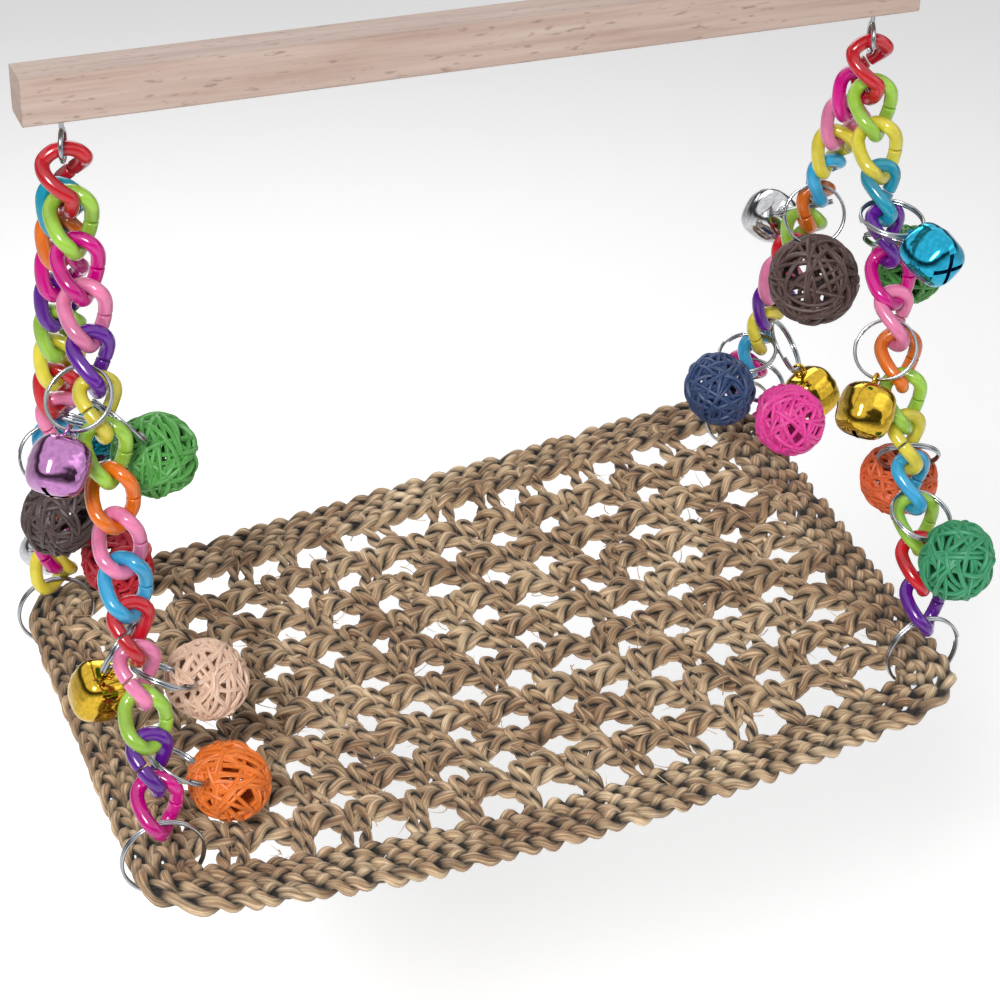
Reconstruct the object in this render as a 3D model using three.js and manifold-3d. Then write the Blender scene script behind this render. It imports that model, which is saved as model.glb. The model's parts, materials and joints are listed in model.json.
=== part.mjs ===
// Seagrass bird hammock: a wooden bar, four chains of twisted plastic links, a woven mat and hanging toys.
// Millimetres, +Z up. The origin is the middle of the bar's top face, X runs along the bar, Y from front to back.
import * as THREE from 'three';
import { mergeVertices } from 'three/addons/utils/BufferGeometryUtils.js';
import Module from 'manifold-3d';

const wasm = await Module();
wasm.setup();

// Fits
const CLEARANCE = 0.3; // between pieces that bear on each other
const SWING_CLEARANCE = 0.8; // between a wire and the wire that swings in it
const OPEN_CLEARANCE = 0.7; // at the right corner rings, which slide on their links when the mat sways
const BITE = 0.3; // how far the links of one chain are pressed into each other where they bear
const WELD = 1e-4; // vertices closer than this are one vertex

// Wooden bar
const BAR_LENGTH = 396;
const BAR_WIDTH = 20;
const BAR_HEIGHT = 20;
const BAR_EDGE = 1.5; // radius of its eased long edges

// Screw eyes
const EYE_INSET = 17; // from an end of the bar to the middle of the eye
const EYE_WIRE = 2.4;
const EYE_INSIDE = 10.6; // inside diameter of the eye
const EYE_DROP = 19.7; // from the bar's underside to the middle of the wire at the foot of the eye
const EYE_THREAD = 12; // length of shank inside the bar
const EYE_TURN = THREE.MathUtils.degToRad(-20); // the eye is screwed in until it faces this way

// Twisted open links of the chains
const LINK_LENGTH = 31;
const LINK_WIDTH = 23;
const LINK_WIRE = 6.2;
const LINK_SLIT = 0.9; // the gap in one leg through which the next link was slipped in
const LINK_TWIST_TOP = 10; // the quarter turn runs between these heights above and below the link's middle
const LINK_TWIST_FOOT = -10;

// The larger link in each eye, which carries two chains
const TOP_LINK_LENGTH = 33;
const TOP_LINK_DIP = 1; // how far below the middle of its foot bend the two chains bear
const TOP_LINK_TWIST_TOP = 9;
const TOP_LINK_TWIST_FOOT = -4;

// Wire rings
const CORNER_RING_RADIUS = 18; // to the middle of the wire
const CORNER_RING_WIRE = 2.2;
const TOY_RING_RADIUS = 14;
const TOY_RING_WIRE = 2;
const TOY_RING_HEIGHT = -1; // where a toy's ring goes round a link's leg, from the link's middle

// Wound rattan balls
const BALL_RADIUS = 20;
const LARGE_BALL_RADIUS = 23; // the umber one
const STRAND_WIDTH = 5;
const STRAND_THICKNESS = 2.6;
const BALL_PLAY = 0.9; // between the ball's crossed hoops and its ring

// Jingle bells
const BELL_RADIUS = 13.5;
const BELL_HALF_HEIGHT = 12.5;
const BELL_SQUARENESS = 0.65; // 1 is an ellipse, less is squarer
const BELL_WALL = 0.8;
const BELL_SLOT_WIDTH = 2.2;
const BELL_SLOT_LENGTH = 16;
const BELL_SLOT_DEPTH = 5;
const STAPLE_RADIUS = 2.6; // of the wire loop on the bell's crown
const STAPLE_WIRE = 1.6;
const STAPLE_SEAT = 0.5; // how deep the loop is sunk in the crown
const PELLET_RADIUS = 3;

// Woven mat
const MAT_HALF_WIDTH = 116; // to the middle of the long borders
const BORDER_WIDTH = 28;
const BORDER_THICKNESS = 11;
const BORDER_CORNER_RADIUS = 15;
const BORDER_CLEARANCE = 1.1; // between the border and the inside of a corner ring
const RING_INSET = 2; // from the inner edge of a long border to the middle of a corner ring's wire
const RING_PASSAGE = 0.5; // between a corner ring's wire and the ropes that it goes between
const NET_THICKNESS = 7;
const GAP_HALF_LENGTH = 10;
const GAP_HALF_HEIGHT = 7.6;
const GAP_COLUMNS = 13;
const GAP_ROWS = 9;
const NET_LAP = 4; // how far the net runs into the border
const FRONT_SAG = 19; // how far the front border hangs below its corners half way along
const FIELD_SAG = 3; // how much further the middle of the net hangs

// Facets
const LINK_ARC_STEPS = 3; // odd, so that a corner lies at the end of the bend
const LINK_SIDES = 4;
const TOP_LINK_ARC_STEPS = 9;
const TOP_LINK_SIDES = 6;
const TOY_RING_STEPS = 10;
const CORNER_RING_STEPS = 16;
const RING_SIDES = 4;
const EYE_STEPS = 16;
const EYE_SIDES = 6;
const BELL_SEGMENTS = 8;
const BELL_ROWS = 6;
const HOLLOW_SEGMENTS = 8;
const HOLLOW_ROWS = 4;
const STAPLE_STEPS = 6;
const BORDER_SIDES = 8;
const LONG_SIDE_STEPS = 9;
const SHORT_SIDE_STEPS = 2;
const CORNER_STEPS = 3;

const UP = new THREE.Vector3(0, 0, 1);
const COLOURS = {
  wood: 0xd2b5a5, steel: 0xc9ccd0, red: 0xc81e2c, seagrass: 0x8a735a,
  lime: 0xa9c95a, yellow: 0xd8cc4a, purple: 0x6a1b94, sky: 0x45a9cf,
  green: 0x2e8b2e, brown: 0x3b2a28, crimson: 0xc81230, natural: 0xddb89f, orange: 0xe0701c, umber: 0x5b4540,
  navy: 0x24406e, pink: 0xe838a0, deep_orange: 0xd8561e, emerald: 0x18854f,
  mauve: 0xb884c8, gold: 0xd8a520, teal: 0x1b9cb5, silver: 0xc4c6ca, cyan: 0x18a8cc,
};

function material(colour, roughness, metalness) {
  return new THREE.MeshStandardMaterial({ color: COLOURS[colour], roughness, metalness });
}

const wood = () => material('wood', 0.7, 0);
const steel = () => material('steel', 0.2, 1);
const plastic = (colour) => material(colour, 0.25, 0);
const rattan = (colour) => material(colour, 0.65, 0);
const platedMetal = (colour) => material(colour, 0.15, 1);
const seagrass = () => material('seagrass', 0.85, 0);

// Solids

function toSolid(geometry) {
  const bare = geometry.clone();
  bare.deleteAttribute('normal');
  bare.deleteAttribute('uv');
  const welded = mergeVertices(bare, WELD);
  return new wasm.Manifold(new wasm.Mesh({
    numProp: 3,
    vertProperties: new Float32Array(welded.attributes.position.array),
    triVerts: new Uint32Array(welded.index.array),
  }));
}

function toGeometry(solid) {
  const mesh = solid.getMesh();
  const geometry = new THREE.BufferGeometry();
  geometry.setAttribute('position', new THREE.BufferAttribute(mesh.vertProperties, 3));
  geometry.setIndex(new THREE.BufferAttribute(mesh.triVerts, 1));
  return geometry;
}

function fuse(geometries) {
  return toGeometry(geometries.map(toSolid).reduce((whole, solid) => whole.add(solid)));
}

function cut(geometry, tools) {
  return toGeometry(tools.map(toSolid).reduce((rest, tool) => rest.subtract(tool), toSolid(geometry)));
}

function indexed(points, triangles) {
  const geometry = new THREE.BufferGeometry().setFromPoints(points);
  geometry.setIndex(triangles);
  return geometry;
}

// A tube of elliptical section along points. outward gives the direction of the section's half width at each point,
// and the first vertex of every section faces inward, so that the full depth lies where pieces bear.
function sweep(points, outward, halfWidth, halfThickness, sides, closed) {
  const count = points.length;
  const vertices = [];
  points.forEach((point, i) => {
    const before = points[closed ? (i + count - 1) % count : Math.max(i - 1, 0)];
    const after = points[closed ? (i + 1) % count : Math.min(i + 1, count - 1)];
    const tangent = after.clone().sub(before).normalize();
    const across = outward[i].clone().addScaledVector(tangent, -outward[i].dot(tangent)).normalize();
    const along = tangent.clone().cross(across);
    for (let side = 0; side < sides; side++) {
      const angle = Math.PI + (2 * Math.PI * side) / sides;
      vertices.push(point.clone()
        .addScaledVector(across, halfWidth * Math.cos(angle))
        .addScaledVector(along, halfThickness * Math.sin(angle)));
    }
  });
  const triangles = [];
  for (let i = 0; i < (closed ? count : count - 1); i++) {
    const next = (i + 1) % count;
    for (let side = 0; side < sides; side++) {
      const turn = (side + 1) % sides;
      const [a, b, c, d] = [i * sides + side, i * sides + turn, next * sides + turn, next * sides + side];
      triangles.push(a, b, c, a, c, d);
    }
  }
  if (!closed) {
    const last = (count - 1) * sides;
    for (let side = 1; side < sides - 1; side++) {
      triangles.push(0, side + 1, side, last, last + side, last + side + 1);
    }
  }
  return indexed(vertices, triangles);
}

// A round wire ring in the XZ plane, about the origin.
function ring(radius, wire, steps, sides) {
  const outward = Array.from({ length: steps }, (_, i) => {
    const angle = Math.PI / 2 + (2 * Math.PI * i) / steps;
    return new THREE.Vector3(Math.cos(angle), 0, Math.sin(angle));
  });
  const points = outward.map((direction) => direction.clone().multiplyScalar(radius));
  return sweep(points, outward, wire / 2, wire / 2, sides, true);
}

// Links

function linkTwist(size, height) {
  const share = (size.twistTop - height) / (size.twistTop - size.twistFoot);
  return (Math.PI / 2) * THREE.MathUtils.clamp(share, 0, 1);
}

// An open link: a stadium of wire whose foot is turned a quarter about its length, slit in one leg.
function link(size) {
  const reach = (size.width - LINK_WIRE) / 2;
  const straight = (size.length - LINK_WIRE) / 2 - reach;
  const bend = Array.from({ length: size.arcSteps }, (_, i) => (Math.PI * (i + 0.5)) / size.arcSteps);
  const flat = [[0, LINK_SLIT / 2, 0]];
  for (const angle of bend) flat.push([angle, straight, 1]);
  flat.push([Math.PI, 0, 0]);
  for (const angle of bend) flat.push([Math.PI + angle, -straight, 1]);
  flat.push([0, -LINK_SLIT / 2, 0]);
  const points = [];
  const outward = [];
  flat.forEach(([angle, middle, round]) => {
    const height = middle + round * reach * Math.sin(angle);
    const twist = linkTwist(size, height);
    points.push(new THREE.Vector3(reach * Math.cos(angle), 0, height).applyAxisAngle(UP, twist));
    outward.push(new THREE.Vector3(Math.cos(angle), 0, round * Math.sin(angle)).applyAxisAngle(UP, twist));
  });
  return sweep(points, outward, LINK_WIRE / 2, LINK_WIRE / 2, size.sides, false);
}

const CHAIN_LINK = {
  length: LINK_LENGTH, width: LINK_WIDTH, twistTop: LINK_TWIST_TOP, twistFoot: LINK_TWIST_FOOT,
  arcSteps: LINK_ARC_STEPS, sides: LINK_SIDES,
};
const CHAIN_APART = (LINK_WIRE + CLEARANCE) / 2; // two first links lie side by side in the bend of a top link
const TOP_LINK_REACH = LINK_WIRE + SWING_CLEARANCE + Math.hypot(CHAIN_APART, TOP_LINK_DIP);
const TOP_LINK = {
  length: TOP_LINK_LENGTH, width: 2 * TOP_LINK_REACH + LINK_WIRE,
  twistTop: TOP_LINK_TWIST_TOP, twistFoot: TOP_LINK_TWIST_FOOT,
  arcSteps: TOP_LINK_ARC_STEPS, sides: TOP_LINK_SIDES,
};
const EYE_SPACING = BAR_LENGTH - 2 * EYE_INSET;
const MAT_HALF_LENGTH = EYE_SPACING / 2; // the corner rings hang below the eyes
const RING_HALF_SPACING = MAT_HALF_WIDTH - BORDER_WIDTH / 2 - RING_INSET;
const LINK_HALF = (LINK_LENGTH - LINK_WIRE) / 2; // middle of a link to the middle of its end wire
const LINK_REACH = (LINK_WIDTH - LINK_WIRE) / 2; // axis of a chain to the middle of a link's leg
const LINK_BEND_SLOPE = Math.PI / 2 / LINK_ARC_STEPS; // how steeply the bend rises beside the end of a link
const LINK_PITCH = LINK_LENGTH - 2 * LINK_WIRE + BITE;
const TOP_LINK_HALF = (TOP_LINK_LENGTH - LINK_WIRE) / 2;

// Heights from the bar down to where the chains start
const EYE_FOOT = -BAR_HEIGHT - EYE_DROP;
const TOP_LINK_HEAD = EYE_FOOT + (EYE_WIRE + LINK_WIRE) / 2 + SWING_CLEARANCE;
const TOP_LINK_BEND = TOP_LINK_HEAD - 2 * TOP_LINK_HALF + TOP_LINK_REACH; // middle of the link's foot bend
const CHAIN_HEAD = TOP_LINK_BEND - TOP_LINK_DIP;

const RING_INSIDE = (CORNER_RING_RADIUS - CORNER_RING_WIRE / 2) * Math.cos(Math.PI / CORNER_RING_STEPS);
const CHAINS = {
  front_left: { end: -1, side: -1, links: 14, colour: 'lime', clearance: CLEARANCE },
  back_left: { end: -1, side: 1, links: 14, colour: 'sky', clearance: CLEARANCE },
  front_right: { end: 1, side: -1, links: 13, colour: 'yellow', clearance: OPEN_CLEARANCE },
  back_right: { end: 1, side: 1, links: 12, colour: 'purple', clearance: OPEN_CLEARANCE },
};
for (const chain of Object.values(CHAINS)) {
  const hook = (CORNER_RING_WIRE / 2 + chain.clearance) / Math.cos(LINK_BEND_SLOPE) + LINK_WIRE / 2;
  chain.run = 2 * LINK_HALF + (chain.links - 1) * LINK_PITCH - hook;
  chain.lean = chain.side * Math.asin((RING_HALF_SPACING - CHAIN_APART) / chain.run);
  chain.head = new THREE.Vector3((chain.end * EYE_SPACING) / 2, chain.side * CHAIN_APART, CHAIN_HEAD);
  const ringHead = CHAIN_HEAD - chain.run * Math.cos(chain.lean);
  chain.ring = new THREE.Vector3(chain.head.x, chain.side * RING_HALF_SPACING, ringHead - CORNER_RING_RADIUS);
  chain.border = chain.ring.z - Math.sqrt(RING_INSIDE ** 2 - (BORDER_WIDTH / 2) ** 2) + BORDER_CLEARANCE;
}

// The toys: which chain and link each hangs on, which leg its ring goes round, which way it hangs and how far out
const TOYS = [
  ['front_left', 4, 'front', 'bell', 'mauve', 230, 46],
  ['front_left', 5, 'back', 'ball', 'green', 20, 37],
  ['front_left', 10, 'back', 'bell', 'gold', 140, 25],
  ['front_left', 11, 'back', 'ball', 'natural', 26, 59],
  ['front_left', 13, 'back', 'ball', 'orange', 6, 55],
  ['back_left', 8, 'back', 'bell', 'teal', 50, 49],
  ['back_left', 8, 'front', 'ball', 'brown', 270, 19],
  ['back_left', 13, 'back', 'bell', 'silver', 94, 57],
  ['back_left', 12, 'back', 'ball', 'crimson', -24, 42],
  ['back_right', 5, 'back', 'bell', 'silver', 100, 60],
  ['back_right', 4, 'front', 'ball', 'umber', 252, 21],
  ['back_right', 10, 'back', 'bell', 'gold', -30, 32],
  ['back_right', 10, 'front', 'ball', 'navy', 214, 70],
  ['back_right', 11, 'front', 'ball', 'pink', 286, 66],
  ['front_right', 3, 'front', 'bell', 'cyan', 280, 79],
  ['front_right', 4, 'back', 'ball', 'green', 40, 48],
  ['front_right', 6, 'front', 'bell', 'gold', 220, 40],
  ['front_right', 9, 'back', 'ball', 'deep_orange', 70, 37],
  ['front_right', 10, 'front', 'ball', 'emerald', 284, 66],
];

// Bar and eyes

function bar() {
  const [y, z] = [BAR_WIDTH / 2 - BAR_EDGE, BAR_HEIGHT / 2 - BAR_EDGE];
  const section = new THREE.Shape();
  section.absarc(y, z, BAR_EDGE, 0, Math.PI / 2);
  section.absarc(-y, z, BAR_EDGE, Math.PI / 2, Math.PI);
  section.absarc(-y, -z, BAR_EDGE, Math.PI, 1.5 * Math.PI);
  section.absarc(y, -z, BAR_EDGE, 1.5 * Math.PI, 2 * Math.PI);
  const stick = new THREE.ExtrudeGeometry(section, { depth: BAR_LENGTH, bevelEnabled: false, curveSegments: 2 });
  stick.translate(0, 0, -BAR_LENGTH / 2);
  stick.rotateX(Math.PI / 2);
  stick.rotateZ(Math.PI / 2);
  stick.translate(0, 0, -BAR_HEIGHT / 2);
  const bores = [-1, 1].map((end) => {
    const depth = EYE_THREAD + CLEARANCE;
    const radius = EYE_WIRE / 2 + CLEARANCE;
    const bore = new THREE.CylinderGeometry(radius, radius, 2 * depth, EYE_SIDES);
    bore.rotateX(Math.PI / 2);
    bore.translate((end * EYE_SPACING) / 2, 0, -BAR_HEIGHT);
    return bore;
  });
  return cut(stick, bores);
}

// A screw eye with its shank up, from the middle of the wire at its foot.
function screwEye() {
  const radius = (EYE_INSIDE + EYE_WIRE) / 2;
  const eye = ring(radius, EYE_WIRE, EYE_STEPS, EYE_SIDES);
  eye.translate(0, 0, radius);
  const top = EYE_DROP + EYE_THREAD;
  const shank = new THREE.CylinderGeometry(EYE_WIRE / 2, EYE_WIRE / 2, top - 2 * radius, EYE_SIDES);
  shank.rotateX(Math.PI / 2);
  shank.translate(0, 0, (top + 2 * radius) / 2);
  return fuse([eye, shank]);
}

// A chain hanging straight down from the middle of its first link's head wire.
function chainOf(links) {
  const middle = (i) => -LINK_HALF - i * LINK_PITCH;
  return fuse(Array.from({ length: links }, (_, i) => link(CHAIN_LINK).translate(0, 0, middle(i))));
}

// Toys, each below the origin, where its ring bears on a link

// An open cage of four great hoops that cross at the twelve corners of a cuboctahedron.
function rattanBall(radius) {
  const corner = (x, y, z) => new THREE.Vector3(x, y, z).setLength(radius);
  const faces = [];
  for (const x of [-1, 1]) {
    faces.push([corner(x, 1, 0), corner(x, 0, 1), corner(x, -1, 0), corner(x, 0, -1)]);
    faces.push([corner(1, x, 0), corner(0, x, 1), corner(-1, x, 0), corner(0, x, -1)]);
    faces.push([corner(1, 0, x), corner(0, 1, x), corner(-1, 0, x), corner(0, -1, x)]);
    for (const y of [-1, 1]) {
      for (const z of [-1, 1]) faces.push([corner(x, y, 0), corner(0, y, z), corner(x, 0, z)]);
    }
  }
  const points = [];
  const triangle = (a, b, c) => points.push(a, b, c);
  const inner = (point) => point.clone().multiplyScalar(1 - STRAND_THICKNESS / radius);
  for (const face of faces) {
    const middle = face.reduce((sum, point) => sum.add(point), new THREE.Vector3()).divideScalar(face.length);
    const first = face[1].clone().sub(face[0]);
    const second = face[2].clone().sub(face[1]);
    if (first.clone().cross(second).dot(middle) < 0) face.reverse();
    const inradius = face[0].clone().add(face[1]).divideScalar(2).distanceTo(middle);
    const share = 1 - STRAND_WIDTH / 2 / inradius;
    const windowOf = (point) => middle.clone().lerp(point, share);
    face.forEach((here, i) => {
      const there = face[(i + 1) % face.length];
      const half = here.clone().add(there).setLength(radius);
      const [near, far] = [windowOf(here), windowOf(there)];
      triangle(here, half, near);
      triangle(half, far, near);
      triangle(half, there, far);
      triangle(inner(there), inner(here), inner(near));
      triangle(inner(far), inner(there), inner(near));
      triangle(near, far, inner(far));
      triangle(near, inner(far), inner(near));
    });
  }
  const cage = mergeVertices(new THREE.BufferGeometry().setFromPoints(points), WELD);
  const pole = new THREE.Vector3(1, 0, 1).normalize();
  const side = new THREE.Vector3(0, 1, 0);
  cage.applyMatrix4(new THREE.Matrix4().makeBasis(side.clone().cross(pole), side, pole).transpose());
  return cage;
}

function bellBody(inset, rows, segments) {
  const profile = Array.from({ length: rows + 1 }, (_, i) => {
    const angle = -Math.PI / 2 + (Math.PI * i) / rows;
    const squared = (value) => Math.sign(value) * Math.abs(value) ** BELL_SQUARENESS;
    const radius = i % rows === 0 ? 0 : (BELL_RADIUS - inset) * squared(Math.cos(angle));
    return new THREE.Vector2(radius, (BELL_HALF_HEIGHT - inset) * squared(Math.sin(angle)));
  });
  return new THREE.LatheGeometry(profile, segments).rotateX(Math.PI / 2);
}

function jingleBell() {
  const slots = [0, Math.PI / 2].map((turn) => {
    const slot = new THREE.BoxGeometry(BELL_SLOT_LENGTH, BELL_SLOT_WIDTH, 2 * BELL_SLOT_DEPTH);
    return slot.rotateZ(turn).translate(0, 0, -BELL_HALF_HEIGHT);
  });
  const hollow = bellBody(BELL_WALL, HOLLOW_ROWS, HOLLOW_SEGMENTS);
  const shell = cut(bellBody(0, BELL_ROWS, BELL_SEGMENTS), [hollow, ...slots]);
  const staple = ring(STAPLE_RADIUS, STAPLE_WIRE, STAPLE_STEPS, RING_SIDES).rotateZ(Math.PI / 2);
  staple.translate(0, 0, BELL_HALF_HEIGHT + STAPLE_RADIUS - STAPLE_SEAT);
  return fuse([shell, staple]);
}

const RING_FOOT = -2 * TOY_RING_RADIUS;

// Where a ball hangs, with its ring through the crossing of two hoops.
function ballMiddle(radius) {
  const crossing = (radius - STRAND_WIDTH / 2) * (1 - STRAND_THICKNESS / radius);
  return RING_FOOT - crossing + TOY_RING_WIRE / 2 + BALL_PLAY;
}

const STAPLE_HEAD = RING_FOOT + (TOY_RING_WIRE + STAPLE_WIRE) / 2 + CLEARANCE;
const BELL_MIDDLE = STAPLE_HEAD - 2 * STAPLE_RADIUS + STAPLE_SEAT - BELL_HALF_HEIGHT;

// How far the loose pellet rolls from the middle of its bell before it meets the hollow's wall.
function pelletDrop(direction) {
  const corners = bellBody(BELL_WALL, HOLLOW_ROWS, HOLLOW_SEGMENTS).toNonIndexed().attributes.position;
  const corner = (i) => new THREE.Vector3().fromBufferAttribute(corners, i);
  const drops = [];
  for (let i = 0; i < corners.count; i += 3) {
    const wall = new THREE.Plane().setFromCoplanarPoints(corner(i), corner(i + 1), corner(i + 2));
    const ahead = -wall.constant * wall.normal.dot(direction) > 0;
    const room = Math.abs(wall.constant) - PELLET_RADIUS - CLEARANCE / 2;
    if (ahead) drops.push(room / Math.abs(wall.normal.dot(direction)));
  }
  return Math.min(...drops);
}

// The point where a toy's ring bears, beside the leg of its link, for a ring whose wire runs along bearing there.
function toyBearing(chain, linkNumber, leg, bearing) {
  const turn = new THREE.Quaternion().setFromAxisAngle(new THREE.Vector3(1, 0, 0), chain.lean);
  const angle = linkTwist(CHAIN_LINK, TOY_RING_HEIGHT) + (leg === 'front' ? Math.PI : 0);
  const out = new THREE.Vector3(Math.cos(angle), Math.sin(angle), 0).applyQuaternion(turn);
  const around = new THREE.Vector3(-Math.sin(angle), Math.cos(angle), 0).applyQuaternion(turn);
  const axis = UP.clone().applyQuaternion(turn);
  const depth = LINK_HALF + (linkNumber - 1) * LINK_PITCH - TOY_RING_HEIGHT;
  const legMiddle = chain.head.clone().addScaledVector(axis, -depth).addScaledVector(out, LINK_REACH);
  const slope = (LINK_REACH * Math.PI) / 2 / (LINK_TWIST_TOP - LINK_TWIST_FOOT);
  const legLine = axis.clone().negate().addScaledVector(around, slope);
  const away = bearing.clone().cross(legLine).normalize();
  if (away.dot(out) < 0) away.negate();
  return legMiddle.addScaledVector(away, -((LINK_WIRE + TOY_RING_WIRE) / 2 + SWING_CLEARANCE));
}

// Mat

// Height of the mat's middle surface: straight between the four corners, less the sag.
function matHeight(x, y) {
  const along = (x / MAT_HALF_LENGTH + 1) / 2;
  const across = (y / RING_HALF_SPACING + 1) / 2;
  const front = THREE.MathUtils.lerp(CHAINS.front_left.border, CHAINS.front_right.border, along);
  const back = THREE.MathUtils.lerp(CHAINS.back_left.border, CHAINS.back_right.border, along);
  const bow = 1 - (x / MAT_HALF_LENGTH) ** 2;
  const frontShare = (1 - y / MAT_HALF_WIDTH) / 2;
  const hollow = FIELD_SAG * (1 - (y / MAT_HALF_WIDTH) ** 2);
  return THREE.MathUtils.lerp(front, back, across) - bow * (FRONT_SAG * frontShare + hollow);
}

function borderRope() {
  const [x, y] = [MAT_HALF_LENGTH - BORDER_CORNER_RADIUS, MAT_HALF_WIDTH - BORDER_CORNER_RADIUS];
  const points = [];
  const outward = [];
  [[x, y], [-x, y], [-x, -y], [x, -y]].forEach(([cx, cy], quarter) => {
    for (let i = 0; i <= CORNER_STEPS; i++) {
      const angle = (Math.PI / 2) * (quarter + i / CORNER_STEPS);
      outward.push(new THREE.Vector3(Math.cos(angle), Math.sin(angle), 0));
      points.push(new THREE.Vector3(cx, cy, 0).addScaledVector(outward.at(-1), BORDER_CORNER_RADIUS));
    }
    const steps = quarter % 2 === 0 ? LONG_SIDE_STEPS : SHORT_SIDE_STEPS;
    const start = points.at(-1);
    const run = new THREE.Vector3(0, 0, 1).cross(outward.at(-1)).multiplyScalar(2 * (quarter % 2 === 0 ? x : y));
    for (let i = 1; i < steps; i++) {
      points.push(start.clone().addScaledVector(run, i / steps));
      outward.push(outward.at(-1).clone());
    }
  });
  points.forEach((point) => point.setZ(matHeight(point.x, point.y)));
  return sweep(points, outward, BORDER_WIDTH / 2, BORDER_THICKNESS / 2, BORDER_SIDES, true);
}

// The open net: cells in staggered rows, each with one lozenge-shaped gap, on a grid of half columns.
function net() {
  const halfLength = MAT_HALF_LENGTH - BORDER_WIDTH / 2 + NET_LAP;
  const halfWidth = MAT_HALF_WIDTH - BORDER_WIDTH / 2 + NET_LAP;
  const lastColumn = 2 * GAP_COLUMNS;
  const points = [];
  const lift = (x, y, face) => new THREE.Vector3(x, y, matHeight(x, y) + (face * NET_THICKNESS) / 2);
  const upper = ([x, y]) => lift(x, y, 1);
  const lower = ([x, y]) => lift(x, y, -1);
  const both = (a, b, c) => points.push(upper(a), upper(b), upper(c), lower(a), lower(c), lower(b));
  const wall = (a, b) => points.push(upper(a), upper(b), lower(b), upper(a), lower(b), lower(a));
  const across = (column) => halfLength * ((2 * column) / lastColumn - 1);
  const along = (row) => halfWidth * ((2 * row) / GAP_ROWS - 1);
  const node = (column, row) => [across(column), along(row)];
  for (let row = 0; row < GAP_ROWS; row++) {
    const shifted = row % 2;
    for (let middle = 1 + shifted; middle < lastColumn; middle += 2) {
      const rim = [node(middle - 1, row), node(middle, row), node(middle + 1, row)];
      rim.push(node(middle + 1, row + 1), node(middle, row + 1), node(middle - 1, row + 1));
      const [x, y] = [rim[1][0], (rim[1][1] + rim[4][1]) / 2];
      const [length, height] = [GAP_HALF_LENGTH, GAP_HALF_HEIGHT];
      const gap = [[x - length, y], [x, y - height], [x + length, y], [x, y + height]];
      for (const half of [0, 1]) {
        const r = (i) => rim[(3 * half + i) % 6];
        const g = (i) => gap[(2 * half + i) % 4];
        both(r(0), r(1), g(1));
        both(r(1), r(2), g(1));
        both(r(0), g(1), g(0));
        both(r(2), g(2), g(1));
        both(r(2), r(3), g(2));
      }
      gap.forEach((point, i) => wall(point, gap[(i + 1) % 4]));
    }
    for (const column of shifted ? [0, lastColumn - 1] : []) {
      both(node(column, row), node(column + 1, row), node(column + 1, row + 1));
      both(node(column, row), node(column + 1, row + 1), node(column, row + 1));
    }
    wall(node(0, row), node(0, row + 1));
    wall(node(lastColumn, row + 1), node(lastColumn, row));
  }
  for (let column = 0; column < lastColumn; column++) {
    wall(node(column + 1, 0), node(column, 0));
    wall(node(column, GAP_ROWS), node(column + 1, GAP_ROWS));
  }
  return mergeVertices(new THREE.BufferGeometry().setFromPoints(points), WELD);
}

// Assembly

const hammock = new THREE.Group();

function place(name, geometry, finish, parent) {
  const mesh = new THREE.Mesh(geometry, finish);
  mesh.name = name;
  parent.add(mesh);
  return mesh;
}

place('hanger_bar', bar(), wood(), hammock);
for (const [name, end] of [['left', -1], ['right', 1]]) {
  const eye = place(`${name}_screw_eye`, screwEye(), steel(), hammock);
  eye.position.set((end * EYE_SPACING) / 2, 0, EYE_FOOT);
  eye.rotation.z = Math.PI / 2 + EYE_TURN;
  const topLink = place(`${name}_top_link`, link(TOP_LINK), plastic('red'), hammock);
  topLink.position.set((end * EYE_SPACING) / 2, 0, TOP_LINK_HEAD - TOP_LINK_HALF);
}

for (const [name, chain] of Object.entries(CHAINS)) {
  const strand = place(`${name}_chain`, chainOf(chain.links), plastic(chain.colour), hammock);
  strand.position.copy(chain.head);
  strand.rotation.x = chain.lean;
  const cornerRing = ring(CORNER_RING_RADIUS, CORNER_RING_WIRE, CORNER_RING_STEPS, RING_SIDES);
  place(`${name}_corner_ring`, cornerRing, steel(), hammock).position.copy(chain.ring);
}

for (const [chainName, linkNumber, leg, kind, colour, heading, lean] of TOYS) {
  const name = `${chainName}_${colour}`;
  const turn = THREE.MathUtils.degToRad(heading) - Math.PI / 2;
  const bearing = new THREE.Vector3(Math.cos(turn), Math.sin(turn), 0);
  const toy = new THREE.Group();
  toy.name = `${name}_${kind}_hinge`;
  toy.position.copy(toyBearing(CHAINS[chainName], linkNumber, leg, bearing));
  toy.rotation.set(THREE.MathUtils.degToRad(lean), 0, turn, 'ZXY');
  hammock.add(toy);
  const wire = ring(TOY_RING_RADIUS, TOY_RING_WIRE, TOY_RING_STEPS, RING_SIDES).translate(0, 0, -TOY_RING_RADIUS);
  place(`${name}_${kind}_ring`, wire, steel(), toy);
  if (kind === 'ball') {
    const radius = colour === 'umber' ? LARGE_BALL_RADIUS : BALL_RADIUS;
    place(`${name}_ball`, rattanBall(radius), rattan(colour), toy).position.z = ballMiddle(radius);
  } else {
    place(`${name}_bell`, jingleBell(), platedMetal(colour), toy).position.z = BELL_MIDDLE;
    const pellet = new THREE.OctahedronGeometry(PELLET_RADIUS, 1);
    const lowest = UP.clone().negate().applyQuaternion(toy.quaternion.clone().invert());
    place(`${name}_pellet`, mergeVertices(pellet, WELD), steel(), toy).position.copy(
      new THREE.Vector3(0, 0, BELL_MIDDLE).addScaledVector(lowest, pelletDrop(lowest)));
  }
}

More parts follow.
